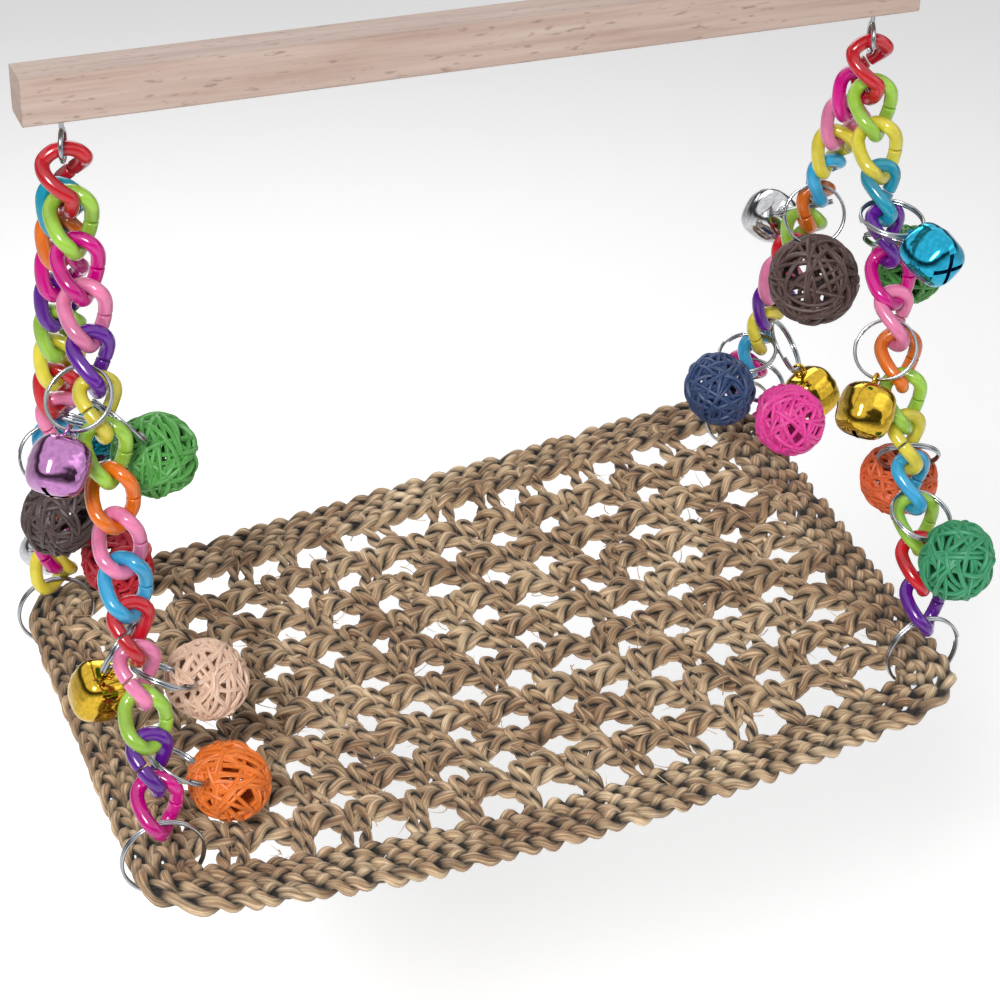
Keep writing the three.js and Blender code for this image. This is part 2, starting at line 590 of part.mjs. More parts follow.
const passages = Object.values(CHAINS).map((chain) => {
  const passage = ring(CORNER_RING_RADIUS, CORNER_RING_WIRE + 2 * RING_PASSAGE, CORNER_RING_STEPS, RING_SIDES);
  return passage.translate(chain.ring.x, chain.ring.y, chain.ring.z);
});
place('mat', cut(fuse([net(), borderRope()]), passages), seagrass(), hammock);

export default hammock;
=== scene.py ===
"""Seagrass bird hammock: a wooden bar, chains of plastic links, a woven mat, rattan balls and bells."""

import json
import math

import bpy
import numpy as np
from mathutils import Matrix, Vector


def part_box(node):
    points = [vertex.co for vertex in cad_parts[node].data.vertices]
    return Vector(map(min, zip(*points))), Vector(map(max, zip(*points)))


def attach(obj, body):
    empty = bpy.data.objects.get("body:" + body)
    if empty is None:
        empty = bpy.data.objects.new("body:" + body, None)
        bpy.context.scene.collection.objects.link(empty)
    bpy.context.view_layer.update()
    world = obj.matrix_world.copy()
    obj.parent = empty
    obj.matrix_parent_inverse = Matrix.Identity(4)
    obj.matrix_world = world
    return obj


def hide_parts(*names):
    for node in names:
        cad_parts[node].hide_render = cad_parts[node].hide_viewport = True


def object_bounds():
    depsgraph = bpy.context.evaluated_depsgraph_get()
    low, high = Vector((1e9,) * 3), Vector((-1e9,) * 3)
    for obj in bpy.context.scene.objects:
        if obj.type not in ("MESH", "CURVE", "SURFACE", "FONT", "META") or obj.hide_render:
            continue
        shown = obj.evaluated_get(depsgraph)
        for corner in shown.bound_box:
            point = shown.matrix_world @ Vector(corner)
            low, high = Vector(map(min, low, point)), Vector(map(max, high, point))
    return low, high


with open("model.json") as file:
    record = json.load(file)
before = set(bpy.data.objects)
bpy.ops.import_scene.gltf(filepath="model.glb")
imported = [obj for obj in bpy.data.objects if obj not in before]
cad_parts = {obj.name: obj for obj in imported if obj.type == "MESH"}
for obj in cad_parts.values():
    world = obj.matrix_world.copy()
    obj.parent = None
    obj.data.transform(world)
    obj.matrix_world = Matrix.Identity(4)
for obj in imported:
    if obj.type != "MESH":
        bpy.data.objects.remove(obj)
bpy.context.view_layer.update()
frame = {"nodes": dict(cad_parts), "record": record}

# The hanger bar: a square stick of planed beech with eased edges, which everything hangs from.
# Its screw eyes are turned into its underside near both ends.

WOOD_PALE, WOOD_LIGHT, WOOD_DEEP, WOOD_FLECK = "B09A8E", "B9A69B", "A1887C", "705A4E"
GRAIN_MM = 2.2  # width of a growth line on the planed face
FLECK_MM = 0.9  # the short dark rays of beech, drawn a little wider than real so that they show


def linear(hex_colour):
    """sRGB hex to linear RGBA: the sRGB curve, channel by channel."""
    srgb = np.array([int(hex_colour[i:i + 2], 16) for i in (0, 2, 4)]) / 255
    rgb = np.where(srgb <= 0.04045, srgb / 12.92, ((srgb + 0.055) / 1.055) ** 2.4)
    return (*rgb.tolist(), 1.0)


def add(tree, kind, inputs=None, **settings):
    """Adds one node, sets its properties, and sets or links each named or numbered input."""
    node = tree.nodes.new(kind)
    for key, value in settings.items():
        setattr(node, key, value)
    for key, value in (inputs or {}).items():
        if isinstance(value, bpy.types.NodeSocket):
            tree.links.new(value, node.inputs[key])
        else:
            node.inputs[key].default_value = value
    return node


def new_material(name):
    """An empty node material: its tree and its output node."""
    made = bpy.data.materials.new(name)
    made.use_nodes = True
    made.node_tree.nodes.clear()
    return made, made.node_tree, made.node_tree.nodes.new("ShaderNodeOutputMaterial")


def colour_ramp(tree, factor, stops):
    """A ramp of (position, hex colour) stops over factor."""
    node = add(tree, "ShaderNodeValToRGB", {"Fac": factor})
    elements = node.color_ramp.elements
    while len(elements) < len(stops):
        elements.new(0.5)
    for element, (position, colour) in zip(elements, stops):
        element.position = position
        element.color = linear(colour)
    return node.outputs["Color"]


def per_mm(size_mm):
    """A texture scale in metres that gives features of that many millimetres."""
    return 1000 / size_mm


def planed_beech():
    """Planed beech: pale pinkish lines along the stick, short darker rays, and a dull waxy surface."""
    made, tree, out = new_material("planed_beech")
    place = add(tree, "ShaderNodeTexCoord").outputs["Object"]
    along = add(tree, "ShaderNodeMapping", {"Vector": place, "Scale": (0.05, 1, 1)}).outputs["Vector"]
    lines = add(tree, "ShaderNodeTexNoise", {"Vector": along, "Scale": per_mm(GRAIN_MM * 2), "Detail": 5.0,
                                             "Roughness": 0.6, "Distortion": 0.3})
    base = colour_ramp(tree, lines.outputs["Fac"], [(0.3, WOOD_DEEP), (0.52, WOOD_PALE), (0.75, WOOD_LIGHT)])
    short = add(tree, "ShaderNodeMapping", {"Vector": place, "Scale": (0.22, 1, 1)}).outputs["Vector"]
    rays = add(tree, "ShaderNodeTexNoise", {"Vector": short, "Scale": per_mm(FLECK_MM * 2), "Detail": 2.0})
    mask = colour_ramp(tree, rays.outputs["Fac"], [(0.62, "000000"), (0.72, "FFFFFF")])
    amount = add(tree, "ShaderNodeMath", {0: mask, 1: 0.55}, operation="MULTIPLY").outputs[0]
    flecked = add(tree, "ShaderNodeMix", {0: amount, 6: base, 7: linear(WOOD_FLECK)}, data_type="RGBA")
    bump = add(tree, "ShaderNodeBump", {"Height": lines.outputs["Fac"], "Strength": 0.25, "Distance": 0.0003})
    shader = add(tree, "ShaderNodeBsdfPrincipled", {"Base Color": flecked.outputs[2], "Roughness": 0.62,
                                                    "Normal": bump.outputs["Normal"]})
    tree.links.new(shader.outputs["BSDF"], out.inputs["Surface"])
    return made


bar = frame["nodes"]["hanger_bar"]
bar.data.materials.clear()
bar.data.materials.append(planed_beech())

# The screw eyes: steel wire bent to a round eye on a threaded shank. They are screwed into bores in the bar's
# underside, and only a short length of bright shank shows between the wood and the eye.

MM = 0.001
BAR_HEIGHT, EYE_SPACING = 20.0, 362.0
EYE_WIRE, EYE_INSIDE, EYE_DROP, EYE_THREAD = 2.4, 10.6, 19.7, 12.0
EYE_EASE = 0.15  # taken off the wire's radius, so that the link swings clear of it
EYE_TURN = math.radians(-20)
EYE_FOOT = -BAR_HEIGHT - EYE_DROP
EYE_START, EYE_END = math.radians(100), math.radians(440)  # where the round of the eye starts and ends
UV_START = 137.0  # millimetres from one tube's start to the next one's, so that no two look alike
SHARP_EDGE = math.radians(50)  # edges that turn by more than this stay sharp
STEEL_DEEP, STEEL_PALE = "8A8D92", "BCBFC3"


def unit(vectors):
    """Vectors scaled to length one."""
    return vectors / np.maximum(np.linalg.norm(vectors, axis=-1, keepdims=True), 1e-9)


def frames(paths, reference, closed):
    """Along each path: its tangent, the reference made square to that, and the cross product of the two."""
    if closed:
        tangent = unit(np.roll(paths, -1, axis=1) - np.roll(paths, 1, axis=1))
    else:
        tangent = unit(np.gradient(paths, axis=1))
    reference = np.broadcast_to(reference, paths.shape)
    across = unit(reference - (reference * tangent).sum(-1, keepdims=True) * tangent)
    return tangent, across, np.cross(tangent, across)


def distance_along(paths):
    """Length from the start of each path to each of its points."""
    steps = np.linalg.norm(np.diff(paths, axis=1), axis=-1)
    return np.concatenate([np.zeros((len(paths), 1)), np.cumsum(steps, axis=1)], axis=1)


def tubes(paths, radius, sides, reference, closed=False):
    """Round tubes: at every point of every path a circle square to the path, joined to the next by quads.

    paths is (tubes, points, 3), and radius is a number or (tubes, points). Open tubes end in flat caps. The
    UVs are millimetres along the tube and around it, with a different start for each tube.
    """
    count, stations, _ = paths.shape
    _, across, third = frames(paths, reference, closed)
    turn = 2 * np.pi * np.arange(sides) / sides
    radius = np.broadcast_to(radius, (count, stations))[:, :, None, None]
    spoke = np.cos(turn)[:, None] * across[:, :, None] + np.sin(turn)[:, None] * third[:, :, None]
    points = (paths[:, :, None] + radius * spoke).reshape(-1, 3)
    rows = np.arange(stations if closed else stations - 1)
    ahead = (rows + 1) % stations
    side = np.arange(sides)
    beside = (side + 1) % sides
    base = (np.arange(count) * stations * sides)[:, None, None]
    a = base + (rows * sides)[:, None] + side
    b = base + (rows * sides)[:, None] + beside
    c = base + (ahead * sides)[:, None] + beside
    d = base + (ahead * sides)[:, None] + side
    quads = np.stack([a, b, c, d], axis=-1).reshape(-1, 4)
    length = distance_along(paths) + UV_START * np.arange(count)[:, None]
    near = length[:, rows, None] + 0 * side
    step = np.linalg.norm(paths[:, ahead] - paths[:, rows], axis=-1)[:, :, None]
    far = near + step
    girth = 2 * np.pi * float(np.mean(radius)) / sides
    low, high = side * girth + 0 * near, (side + 1) * girth + 0 * near
    corners = [np.stack(pair, axis=-1) for pair in ((near, low), (near, high), (far, high), (far, low))]
    uvs = np.stack(corners, axis=-2).reshape(-1, 4, 2)
    faces, face_uvs = [quads], [uvs]
    if not closed:
        first = base[:, :, 0] + side[::-1]
        last = base[:, :, 0] + (stations - 1) * sides + side
        caps = np.concatenate([first, last])
        faces.append(caps)
        face_uvs.append(np.zeros((*caps.shape, 2)) + UV_START * np.arange(len(caps))[:, None, None])
    return points, faces, face_uvs


def join(*shapes):
    """Several (points, faces, face_uvs) shapes as one."""
    points, faces, uvs, start = [], [], [], 0
    for shape_points, shape_faces, shape_uvs in shapes:
        points.append(shape_points)
        faces += [face + start for face in shape_faces]
        uvs += shape_uvs
        start += len(shape_points)
    return np.concatenate(points), faces, uvs


def piece(name, shape, finish, body, slot, *nodes):
    """A mesh object from points in millimetres, with its finish, body and the CAD nodes it replaces; slot is
    not used.
    """
    points, faces, uvs = shape
    mesh = bpy.data.meshes.new(name)
    sizes = np.concatenate([np.full(len(group), group.shape[1]) for group in faces])
    corners = np.concatenate([group.ravel() for group in faces]).astype(np.int32)
    mesh.vertices.add(len(points))
    mesh.vertices.foreach_set("co", (points * MM).astype(np.float32).ravel())
    mesh.loops.add(len(corners))
    mesh.loops.foreach_set("vertex_index", corners)
    mesh.polygons.add(len(sizes))
    starts = np.concatenate([[0], np.cumsum(sizes)[:-1]])
    mesh.polygons.foreach_set("loop_start", starts.astype(np.int32))
    mesh.polygons.foreach_set("loop_total", sizes.astype(np.int32))
    mesh.polygons.foreach_set("use_smooth", np.ones(len(sizes), dtype=bool))
    layer = mesh.uv_layers.new(name="along_and_around")
    flat = np.concatenate([group.reshape(-1, 2) for group in uvs])
    layer.data.foreach_set("uv", flat.astype(np.float32).ravel())
    mesh.update(calc_edges=True)
    mesh.validate()
    mesh.set_sharp_from_angle(angle=SHARP_EDGE)
    mesh.materials.append(finish)
    made = bpy.data.objects.new(name, mesh)
    bpy.context.scene.collection.objects.link(made)
    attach(made, body)
    if nodes:
        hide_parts(*nodes)
    return made


def bright_steel():
    """Nickel-plated steel wire: a mirror with faint drawing marks along it."""
    made, tree, out = new_material("bright_steel_wire")
    along = add(tree, "ShaderNodeUVMap", uv_map="along_and_around").outputs["UV"]
    drawn = add(tree, "ShaderNodeMapping", {"Vector": along, "Scale": (0.08, 3, 1)}).outputs["Vector"]
    marks = add(tree, "ShaderNodeTexNoise", {"Vector": drawn, "Scale": 1.0, "Detail": 3.0})
    rough = add(tree, "ShaderNodeMapRange", {"Value": marks.outputs["Fac"], "To Min": 0.12, "To Max": 0.3})
    tone = colour_ramp(tree, marks.outputs["Fac"], [(0.35, STEEL_DEEP), (0.65, STEEL_PALE)])
    shader = add(tree, "ShaderNodeBsdfPrincipled", {"Base Color": tone, "Metallic": 1.0,
                                                    "Roughness": rough.outputs["Result"]})
    tree.links.new(shader.outputs["BSDF"], out.inputs["Surface"])
    return made


STEEL = bright_steel()


def turned(points, axis, angle):
    """Points turned about a coordinate axis by the right-hand rule."""
    return points @ np.array(Matrix.Rotation(angle, 3, axis)).T


def screw_eye(end):
    """A circle of wire from its foot round to its neck, and a straight shank from there up into the bore."""
    radius = (EYE_INSIDE + EYE_WIRE) / 2
    around = np.linspace(EYE_START, EYE_END, 80)
    eye = np.stack([0 * around, radius * np.cos(around), radius * (1 + np.sin(around))], axis=-1)
    rise = np.linspace(2 * radius, EYE_DROP + EYE_THREAD, 40)[:, None]
    shank = rise * np.array([0, 0, 1.0])
    reference = turned(np.array([[1.0, 0, 0]]), "Z", EYE_TURN)[0]
    shapes = []
    for path in (eye, shank):
        path = turned(path, "Z", EYE_TURN) + np.array([end * EYE_SPACING / 2, 0, EYE_FOOT])
        shapes.append(tubes(path[None], EYE_WIRE / 2 - EYE_EASE, 16, reference))
    return join(*shapes)


for side_name, end in (("left", -1), ("right", 1)):
    piece(f"{side_name}_eye", screw_eye(end), STEEL, "hanger", "steel_wire", f"{side_name}_screw_eye")

# The links: moulded acrylic, each a stadium of round rod whose foot is turned a quarter, with a slit in one
# leg through which the next link was slipped in. The larger red one in each eye carries two chains.

LINK_WIRE, LINK_SLIT, BITE, CLEARANCE, SWING_CLEARANCE = 6.2, 0.7, 0.3, 0.3, 0.8
LINK_LENGTH, LINK_WIDTH, LINK_TWIST = 31.0, 23.0, (10.0, -10.0)
LINK_HALF = (LINK_LENGTH - LINK_WIRE) / 2
LINK_PITCH = LINK_LENGTH - 2 * LINK_WIRE + BITE
TOP_LINK_LENGTH, TOP_LINK_DIP, TOP_LINK_TWIST = 33.0, 1.0, (9.0, -4.0)
CHAIN_APART = (LINK_WIRE + CLEARANCE) / 2
TOP_LINK_REACH = LINK_WIRE + SWING_CLEARANCE + math.hypot(CHAIN_APART, TOP_LINK_DIP)
TOP_LINK_WIDTH = 2 * TOP_LINK_REACH + LINK_WIRE
TOP_LINK_HALF = (TOP_LINK_LENGTH - LINK_WIRE) / 2
TOP_LINK_HEAD = EYE_FOOT + (EYE_WIRE + LINK_WIRE) / 2 + SWING_CLEARANCE
CHAIN_HEAD = TOP_LINK_HEAD - 2 * TOP_LINK_HALF + TOP_LINK_REACH - TOP_LINK_DIP
CORNER_RING_RADIUS = 18.0
LIP = 0.5  # radius of the moulded edge at each lip of the slit
TILT = 1.2  # degrees by which links hang unevenly
SPIN = (-60.0, -25.0)  # degrees by which links without a toy are turned about the chain
PLASTIC = {
    "red": "BE1424", "lime": "96C242", "magenta": "C4007E", "pink": "DE7BA4", "purple": "5A148C",
    "yellow": "D8CA3E", "sky": "34A0CE", "orange": "DA6C14", "teal": "148EA8",
}
CHAIN_LINKS = {
    "front_left": "lime magenta pink purple yellow lime orange pink sky red pink lime purple magenta",
    "back_left": "teal orange magenta purple lime yellow red pink sky lime orange purple magenta yellow",
    "front_right": "lime yellow teal purple magenta pink orange lime yellow sky lime red purple",
    "back_right": "magenta pink yellow sky orange lime red pink purple yellow sky magenta",
}
CHAIN_SLOT = {"front_left": "lime", "back_left": "sky", "front_right": "yellow", "back_right": "purple"}
# The links with a toy on their front leg, and on their back leg, counted from the top
FRONT_LEG_TOYS = {"front_left": (4,), "back_left": (8,), "front_right": (3, 6, 10), "back_right": (4, 10, 11)}
BACK_LEG_TOYS = {
    "front_left": (5, 10, 11, 13), "back_left": (8, 12, 13), "front_right": (4, 9), "back_right": (5, 10),
}


def darker(colour, share):
    """A hex colour with each channel multiplied by a share."""
    return "".join(f"{int(int(colour[i:i + 2], 16) * share):02X}" for i in (0, 2, 4))


def acrylic(name, colour):
    """Glossy moulded acrylic: clean colour, slightly see-through, so it glows a little where it is thin."""
    made, tree, out = new_material(f"{name}_acrylic")
    place = add(tree, "ShaderNodeTexCoord").outputs["Object"]
    cloud = add(tree, "ShaderNodeTexNoise", {"Vector": place, "Scale": per_mm(14), "Detail": 3.0})
    tone = colour_ramp(tree, cloud.outputs["Fac"], [(0.35, darker(colour, 0.86)), (0.6, colour)])
    scuff = add(tree, "ShaderNodeTexNoise", {"Vector": place, "Scale": per_mm(3), "Detail": 4.0})
    rough = add(tree, "ShaderNodeMapRange", {"Value": scuff.outputs["Fac"], "To Min": 0.1, "To Max": 0.28})
    shader = add(tree, "ShaderNodeBsdfPrincipled", {
        "Base Color": tone, "Roughness": rough.outputs["Result"], "IOR": 1.49, "Coat Weight": 0.35,
        "Coat Roughness": 0.06, "Subsurface Weight": 0.12, "Subsurface Radius": (0.6, 0.5, 0.5),
        "Subsurface Scale": 0.003})
    tree.links.new(shader.outputs["BSDF"], out.inputs["Surface"])
    return made


ACRYLIC = {name: acrylic(name, colour) for name, colour in PLASTIC.items()}


def open_link(length, width, twist):
    """A stadium of rod, run from one lip of the slit round to the other.

    Up a straight leg, half a circle, down the other leg, half a circle and back up. Every point is then
    turned about the link's length by an angle that grows evenly to a quarter turn from the head of the twist
    to its foot.
    """
    reach = (width - LINK_WIRE) / 2
    straight = (length - LINK_WIRE) / 2 - reach
    bend = math.pi * reach
    total = 4 * straight + 2 * bend
    lips = LIP * np.array([0, 0.1, 0.3, 0.6, 1])
    between = np.linspace(2 * LIP, total - LINK_SLIT - 2 * LIP, 110)
    s = np.concatenate([lips, between, total - LINK_SLIT - lips[::-1]]) + LINK_SLIT / 2
    upper, lower = (s - straight) / reach, (s - 3 * straight - bend) / reach
    parts = [s < straight, s < straight + bend, s < 3 * straight + bend, s < 3 * straight + 2 * bend]
    x = np.select(parts, [reach, reach * np.cos(upper), -reach, -reach * np.cos(lower)], reach)
    z = np.select(parts, [s, straight + reach * np.sin(upper), 2 * straight + bend - s,
                          -straight - reach * np.sin(lower)], s - total)
    share = np.clip((twist[0] - z) / (twist[0] - twist[1]), 0, 1)
    angle = share * np.pi / 2
    path = np.stack([x * np.cos(angle), x * np.sin(angle), z], axis=-1)
    lip = np.clip(np.minimum(s - s[0], s[-1] - s) / LIP, 0, 1)
    radius = LINK_WIRE / 2 - LIP * (1 - np.sqrt(1 - (1 - lip) ** 2))
    side = np.stack([-np.sin(angle), np.cos(angle), 0 * z], axis=-1)
    return tubes(path[None], radius[None], 18, side[None])


def moved(shape, rotation, offset):
    """A shape turned by a 3 by 3 matrix, then shifted."""
    points, faces, uvs = shape
    return points @ np.asarray(rotation).T + np.asarray(offset), faces, uvs


def box_middle(node):
    """The middle of a CAD node's box, in millimetres."""
    low, high = (np.array(corner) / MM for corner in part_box(node))
    return (low + high) / 2


TOP_LINK = open_link(TOP_LINK_LENGTH, TOP_LINK_WIDTH, TOP_LINK_TWIST)
CHAIN_LINK = open_link(LINK_LENGTH, LINK_WIDTH, LINK_TWIST)
for side_name, end in (("left", -1), ("right", 1)):
    shape = moved(TOP_LINK, np.eye(3), (end * EYE_SPACING / 2, 0, TOP_LINK_HEAD - TOP_LINK_HALF))
    piece(f"{side_name}_red_link", shape, ACRYLIC["red"], "top_links", "red_link_plastic",
          f"{side_name}_top_link")

rng = np.random.default_rng(7)
for chain, colours in CHAIN_LINKS.items():
    hook = box_middle(f"{chain}_corner_ring") + (0, 0, CORNER_RING_RADIUS)
    head = np.array([hook[0], math.copysign(CHAIN_APART, hook[1]), CHAIN_HEAD])
    lean = math.atan2(hook[1] - head[1], head[2] - hook[2])
    body = "left_chains" if chain.endswith("left") else f"{chain}_chain"
    hang = Matrix.Rotation(lean, 3, "X")
    for number, colour in enumerate(colours.split(), 1):
        tilt = np.radians(rng.uniform(-TILT, TILT, 2))
        spin = math.radians(rng.uniform(*SPIN))
        if number in FRONT_LEG_TOYS[chain]:
            spin = 0.0
        if number in BACK_LEG_TOYS[chain]:
            spin = math.pi
        tilted = Matrix.Rotation(tilt[0], 3, "X") @ Matrix.Rotation(tilt[1], 3, "Y")
        own = tilted @ Matrix.Rotation(spin, 3, "Z")
        depth = LINK_HALF + (number - 1) * LINK_PITCH
        middle = head + np.array(hang @ Vector((0, 0, -depth)))
        shape = moved(CHAIN_LINK, hang @ own, middle)
        piece(f"{chain}_link_{number:02d}_{colour}", shape, ACRYLIC[colour], body,
              f"{CHAIN_SLOT[chain]}_link_plastic", f"{chain}_chain")

# The split rings: two close turns of bright wire, like a key ring. Large ones go round the mat's short border
# and through the last link of each chain. Smaller ones go round a link's leg and carry one toy each.

CORNER_RING_WIRE, TOY_RING_RADIUS, TOY_RING_WIRE = 2.2, 14.0, 2.0
TURN_RADIUS, TURN_RISE = 0.35, 0.66  # radius of the wire and rise of a turn, as shares of the CAD wire
RING_START, RING_SPLIT = 0.3, 0.25  # radians: where the first turn starts, and how far short the second ends


def split_ring(radius, wire):
    """Two turns of a helix about Y: a circle in the XZ plane that climbs along Y by one rise each turn."""
    around = np.linspace(RING_START, RING_START + 4 * np.pi - RING_SPLIT, 150)
    rise = (around - around.mean()) / (2 * np.pi) * wire * TURN_RISE
    path = np.stack([radius * np.cos(around), rise, radius * np.sin(around)], axis=-1)
    return tubes(path[None], wire * TURN_RADIUS, 10, (0, 1, 0))


for chain in CHAIN_LINKS:
    large_ring = split_ring(CORNER_RING_RADIUS, CORNER_RING_WIRE)
    shape = moved(large_ring, np.eye(3), box_middle(f"{chain}_corner_ring"))
    piece(f"{chain}_mat_ring", shape, STEEL, "hammock_mat", "steel_wire", f"{chain}_corner_ring")

TOYS = []  # each toy's name, kind, hinge's place, and own axes as columns, the third of them up its ring
for joint in frame["record"]["behaviour"]["joints"]:
    if not joint["child"].endswith("_toy"):
        continue
    toy = joint["child"][:-len("_toy")]
    kind = toy.rsplit("_", 1)[1]
    hinge, axis = np.array(joint["pos_m"]) / MM, np.array(joint["axis"])
    up = unit(hinge - box_middle(f"{toy}_ring"))
    axes = np.stack([axis, np.cross(up, axis), up], axis=-1)
    TOYS.append((toy, kind, hinge, axes))
    shape = moved(split_ring(TOY_RING_RADIUS, TOY_RING_WIRE), axes, hinge - up * TOY_RING_RADIUS)
    piece(f"{toy}_split_ring", shape, STEEL, joint["child"], "steel_wire", f"{toy}_ring")

# The rattan balls: each wound by hand from one long dyed strand, round and round at every slant, and hollow.
# The split ring goes under the strands at the top.

BALL_RADIUS, LARGE_BALL_RADIUS, RATTAN_WIRE, RATTAN_LOOPS = 20.0, 23.0, 2.2, 35
STRAND_WIDTH, STRAND_THICKNESS, BALL_PLAY = 5.0, 2.6, 0.9
BALL_EASE = 1.1  # taken off a ball's radius, so that it swings clear of its neighbours
BALL_PRESS = 0.1  # share by which a ball is pressed flat along one axis
BALL_WEAVE = 0.055  # how far a strand dips and rises among the others, as a share of the ball's radius
LOOSE_ENDS, END_ARC, END_LIFT = 3, 1.1, 0.04  # how many ends stick out, their arc in radians, and their lift
BALL_SEED = 40
RING_FOOT = -2 * TOY_RING_RADIUS
RATTAN = {
    "green": "45933A", "brown": "3E2C2A", "crimson": "C40E2A", "natural": "DBB79E", "orange": "E06E16",
    "umber": "49332F", "navy": "1B3562", "pink": "E83A9C", "deep_orange": "D25620", "emerald": "2A8C5C",
}


def dyed_rattan(name, colour):
    """Dyed rattan core: matt, with fine pores along the strand and dye that took unevenly."""
    made, tree, out = new_material(f"{name}_dyed_rattan")
    along = add(tree, "ShaderNodeUVMap", uv_map="along_and_around").outputs["UV"]
    drawn = add(tree, "ShaderNodeMapping", {"Vector": along, "Scale": (0.12, 2.4, 1)}).outputs["Vector"]
    pores = add(tree, "ShaderNodeTexNoise", {"Vector": drawn, "Scale": 1.0, "Detail": 4.0, "Roughness": 0.65})
    channels = [int(colour[i:i + 2], 16) for i in (0, 2, 4)]
    light = "".join(f"{int(value + (255 - value) * 0.3):02X}" for value in channels)
    stops = [(0.28, darker(colour, 0.6)), (0.5, colour), (0.74, light)]
    tone = colour_ramp(tree, pores.outputs["Fac"], stops)
    bump = add(tree, "ShaderNodeBump", {"Height": pores.outputs["Fac"], "Strength": 0.4, "Distance": 0.0002})
    shader = add(tree, "ShaderNodeBsdfPrincipled", {"Base Color": tone, "Roughness": 0.5,
                                                    "Normal": bump.outputs["Normal"]})
    tree.links.new(shader.outputs["BSDF"], out.inputs["Surface"])
    return made


def rattan_ball(ball_radius, seed):
    """Loops of strand on a ball: each a circle about a random axis, off the middle, that dips and rises.

    A point at angle a on a loop is axis * off + (cos a * first + sin a * second) * r, where r leaves the
    point on the sphere. The whole is scaled by a slow wave so that loops pass over and under each other, and
    pressed a little flat along one axis. A few short arcs that lift at one end are the strand's loose ends.
    """
    draw = np.random.default_rng(seed)
    axis = unit(draw.normal(size=(RATTAN_LOOPS, 3)))
    first = unit(np.cross(axis, draw.normal(size=(RATTAN_LOOPS, 3))))
    second = np.cross(axis, first)
    sphere = ball_radius - BALL_EASE - RATTAN_WIRE / 2
    off = draw.uniform(-0.6, 0.6, (RATTAN_LOOPS, 1, 1)) * sphere
    flat = unit(draw.normal(size=3))

    def laid(around, loops, depth):
        circle = np.cos(around)[:, None] * first[loops, None]
        circle = circle + np.sin(around)[:, None] * second[loops, None]
        points = (axis[loops, None] * off[loops] + circle * np.sqrt(sphere**2 - off[loops] ** 2)) * depth
        return points - BALL_PRESS * (points @ flat)[..., None] * flat

    around = np.linspace(0, 2 * np.pi, 56, endpoint=False)
    waves = draw.integers(2, 5, (RATTAN_LOOPS, 1, 1))
    start = draw.uniform(0, 2 * np.pi, (RATTAN_LOOPS, 1, 1))
    depth = 1 - BALL_WEAVE + BALL_WEAVE * np.sin(waves * around[:, None] + start)
    thickness = RATTAN_WIRE / 2 * draw.uniform(0.85, 1.1, (RATTAN_LOOPS, 1))
    closed = tubes(laid(around, slice(None), depth), thickness, 6, axis[:, None], closed=True)
    arc = np.linspace(0, END_ARC, 12)
    lift = 0.98 + END_LIFT * (arc[:, None] / END_ARC) ** 3
    ends = laid(arc + 1.0, slice(0, LOOSE_ENDS), lift)
    return join(closed, tubes(ends, RATTAN_WIRE / 2, 6, axis[:LOOSE_ENDS, None]))


RATTAN_FINISH = {name: dyed_rattan(name, colour) for name, colour in RATTAN.items()}
for number, (toy, kind, hinge, axes) in enumerate(TOYS):
    if kind == "ball":
        colour = toy.split("_", 2)[2][:-len("_ball")]
        radius = LARGE_BALL_RADIUS if colour == "umber" else BALL_RADIUS
        crossing = (radius - STRAND_WIDTH / 2) * (1 - STRAND_THICKNESS / radius)
        middle = RING_FOOT - crossing + TOY_RING_WIRE / 2 + BALL_PLAY
        shape = moved(rattan_ball(radius, BALL_SEED + number), axes, hinge + axes[:, 2] * middle)
        piece(f"{toy}_wound", shape, RATTAN_FINISH[colour], f"{toy}_toy", f"{colour}_rattan", toy)

# The jingle bells: two pressed cups of thin plated steel, crimped together round the middle. The lower cup
# has a cross of slots, a wire staple stands on the crown, and a loose steel pellet inside makes it ring.

BELL_RADIUS, BELL_HALF_HEIGHT, BELL_SQUARENESS, BELL_WALL = 13.5, 12.5, 0.65, 0.8
BELL_PLAN = 3.0  # power of the rounded square that the bell is in plan
CRIMP, CRIMP_HALF_WIDTH = 0.5, 0.8  # how far the crimped ridge stands out, and how wide it is
BELL_SLOT_WIDTH, BELL_SLOT_LENGTH, BELL_SLOT_DEPTH = 2.2, 16.0, 5.0
BOSS_RADIUS, BOSS_RISE = 3.2, 0.5  # the low round of metal that the staple is pinched into
STAPLE_RADIUS, STAPLE_WIRE, STAPLE_SEAT, PELLET_RADIUS = 2.6, 1.6, 0.5, 3.0
STAPLE_HEAD = RING_FOOT + (TOY_RING_WIRE + STAPLE_WIRE) / 2 + CLEARANCE
BELL_MIDDLE = STAPLE_HEAD - 2 * STAPLE_RADIUS + STAPLE_SEAT - BELL_HALF_HEIGHT
PLATING = {"mauve": "BE84BC", "gold": "D2AC38", "teal": "1E92AC", "silver": "C6C7CA", "cyan": "2CA8CC"}


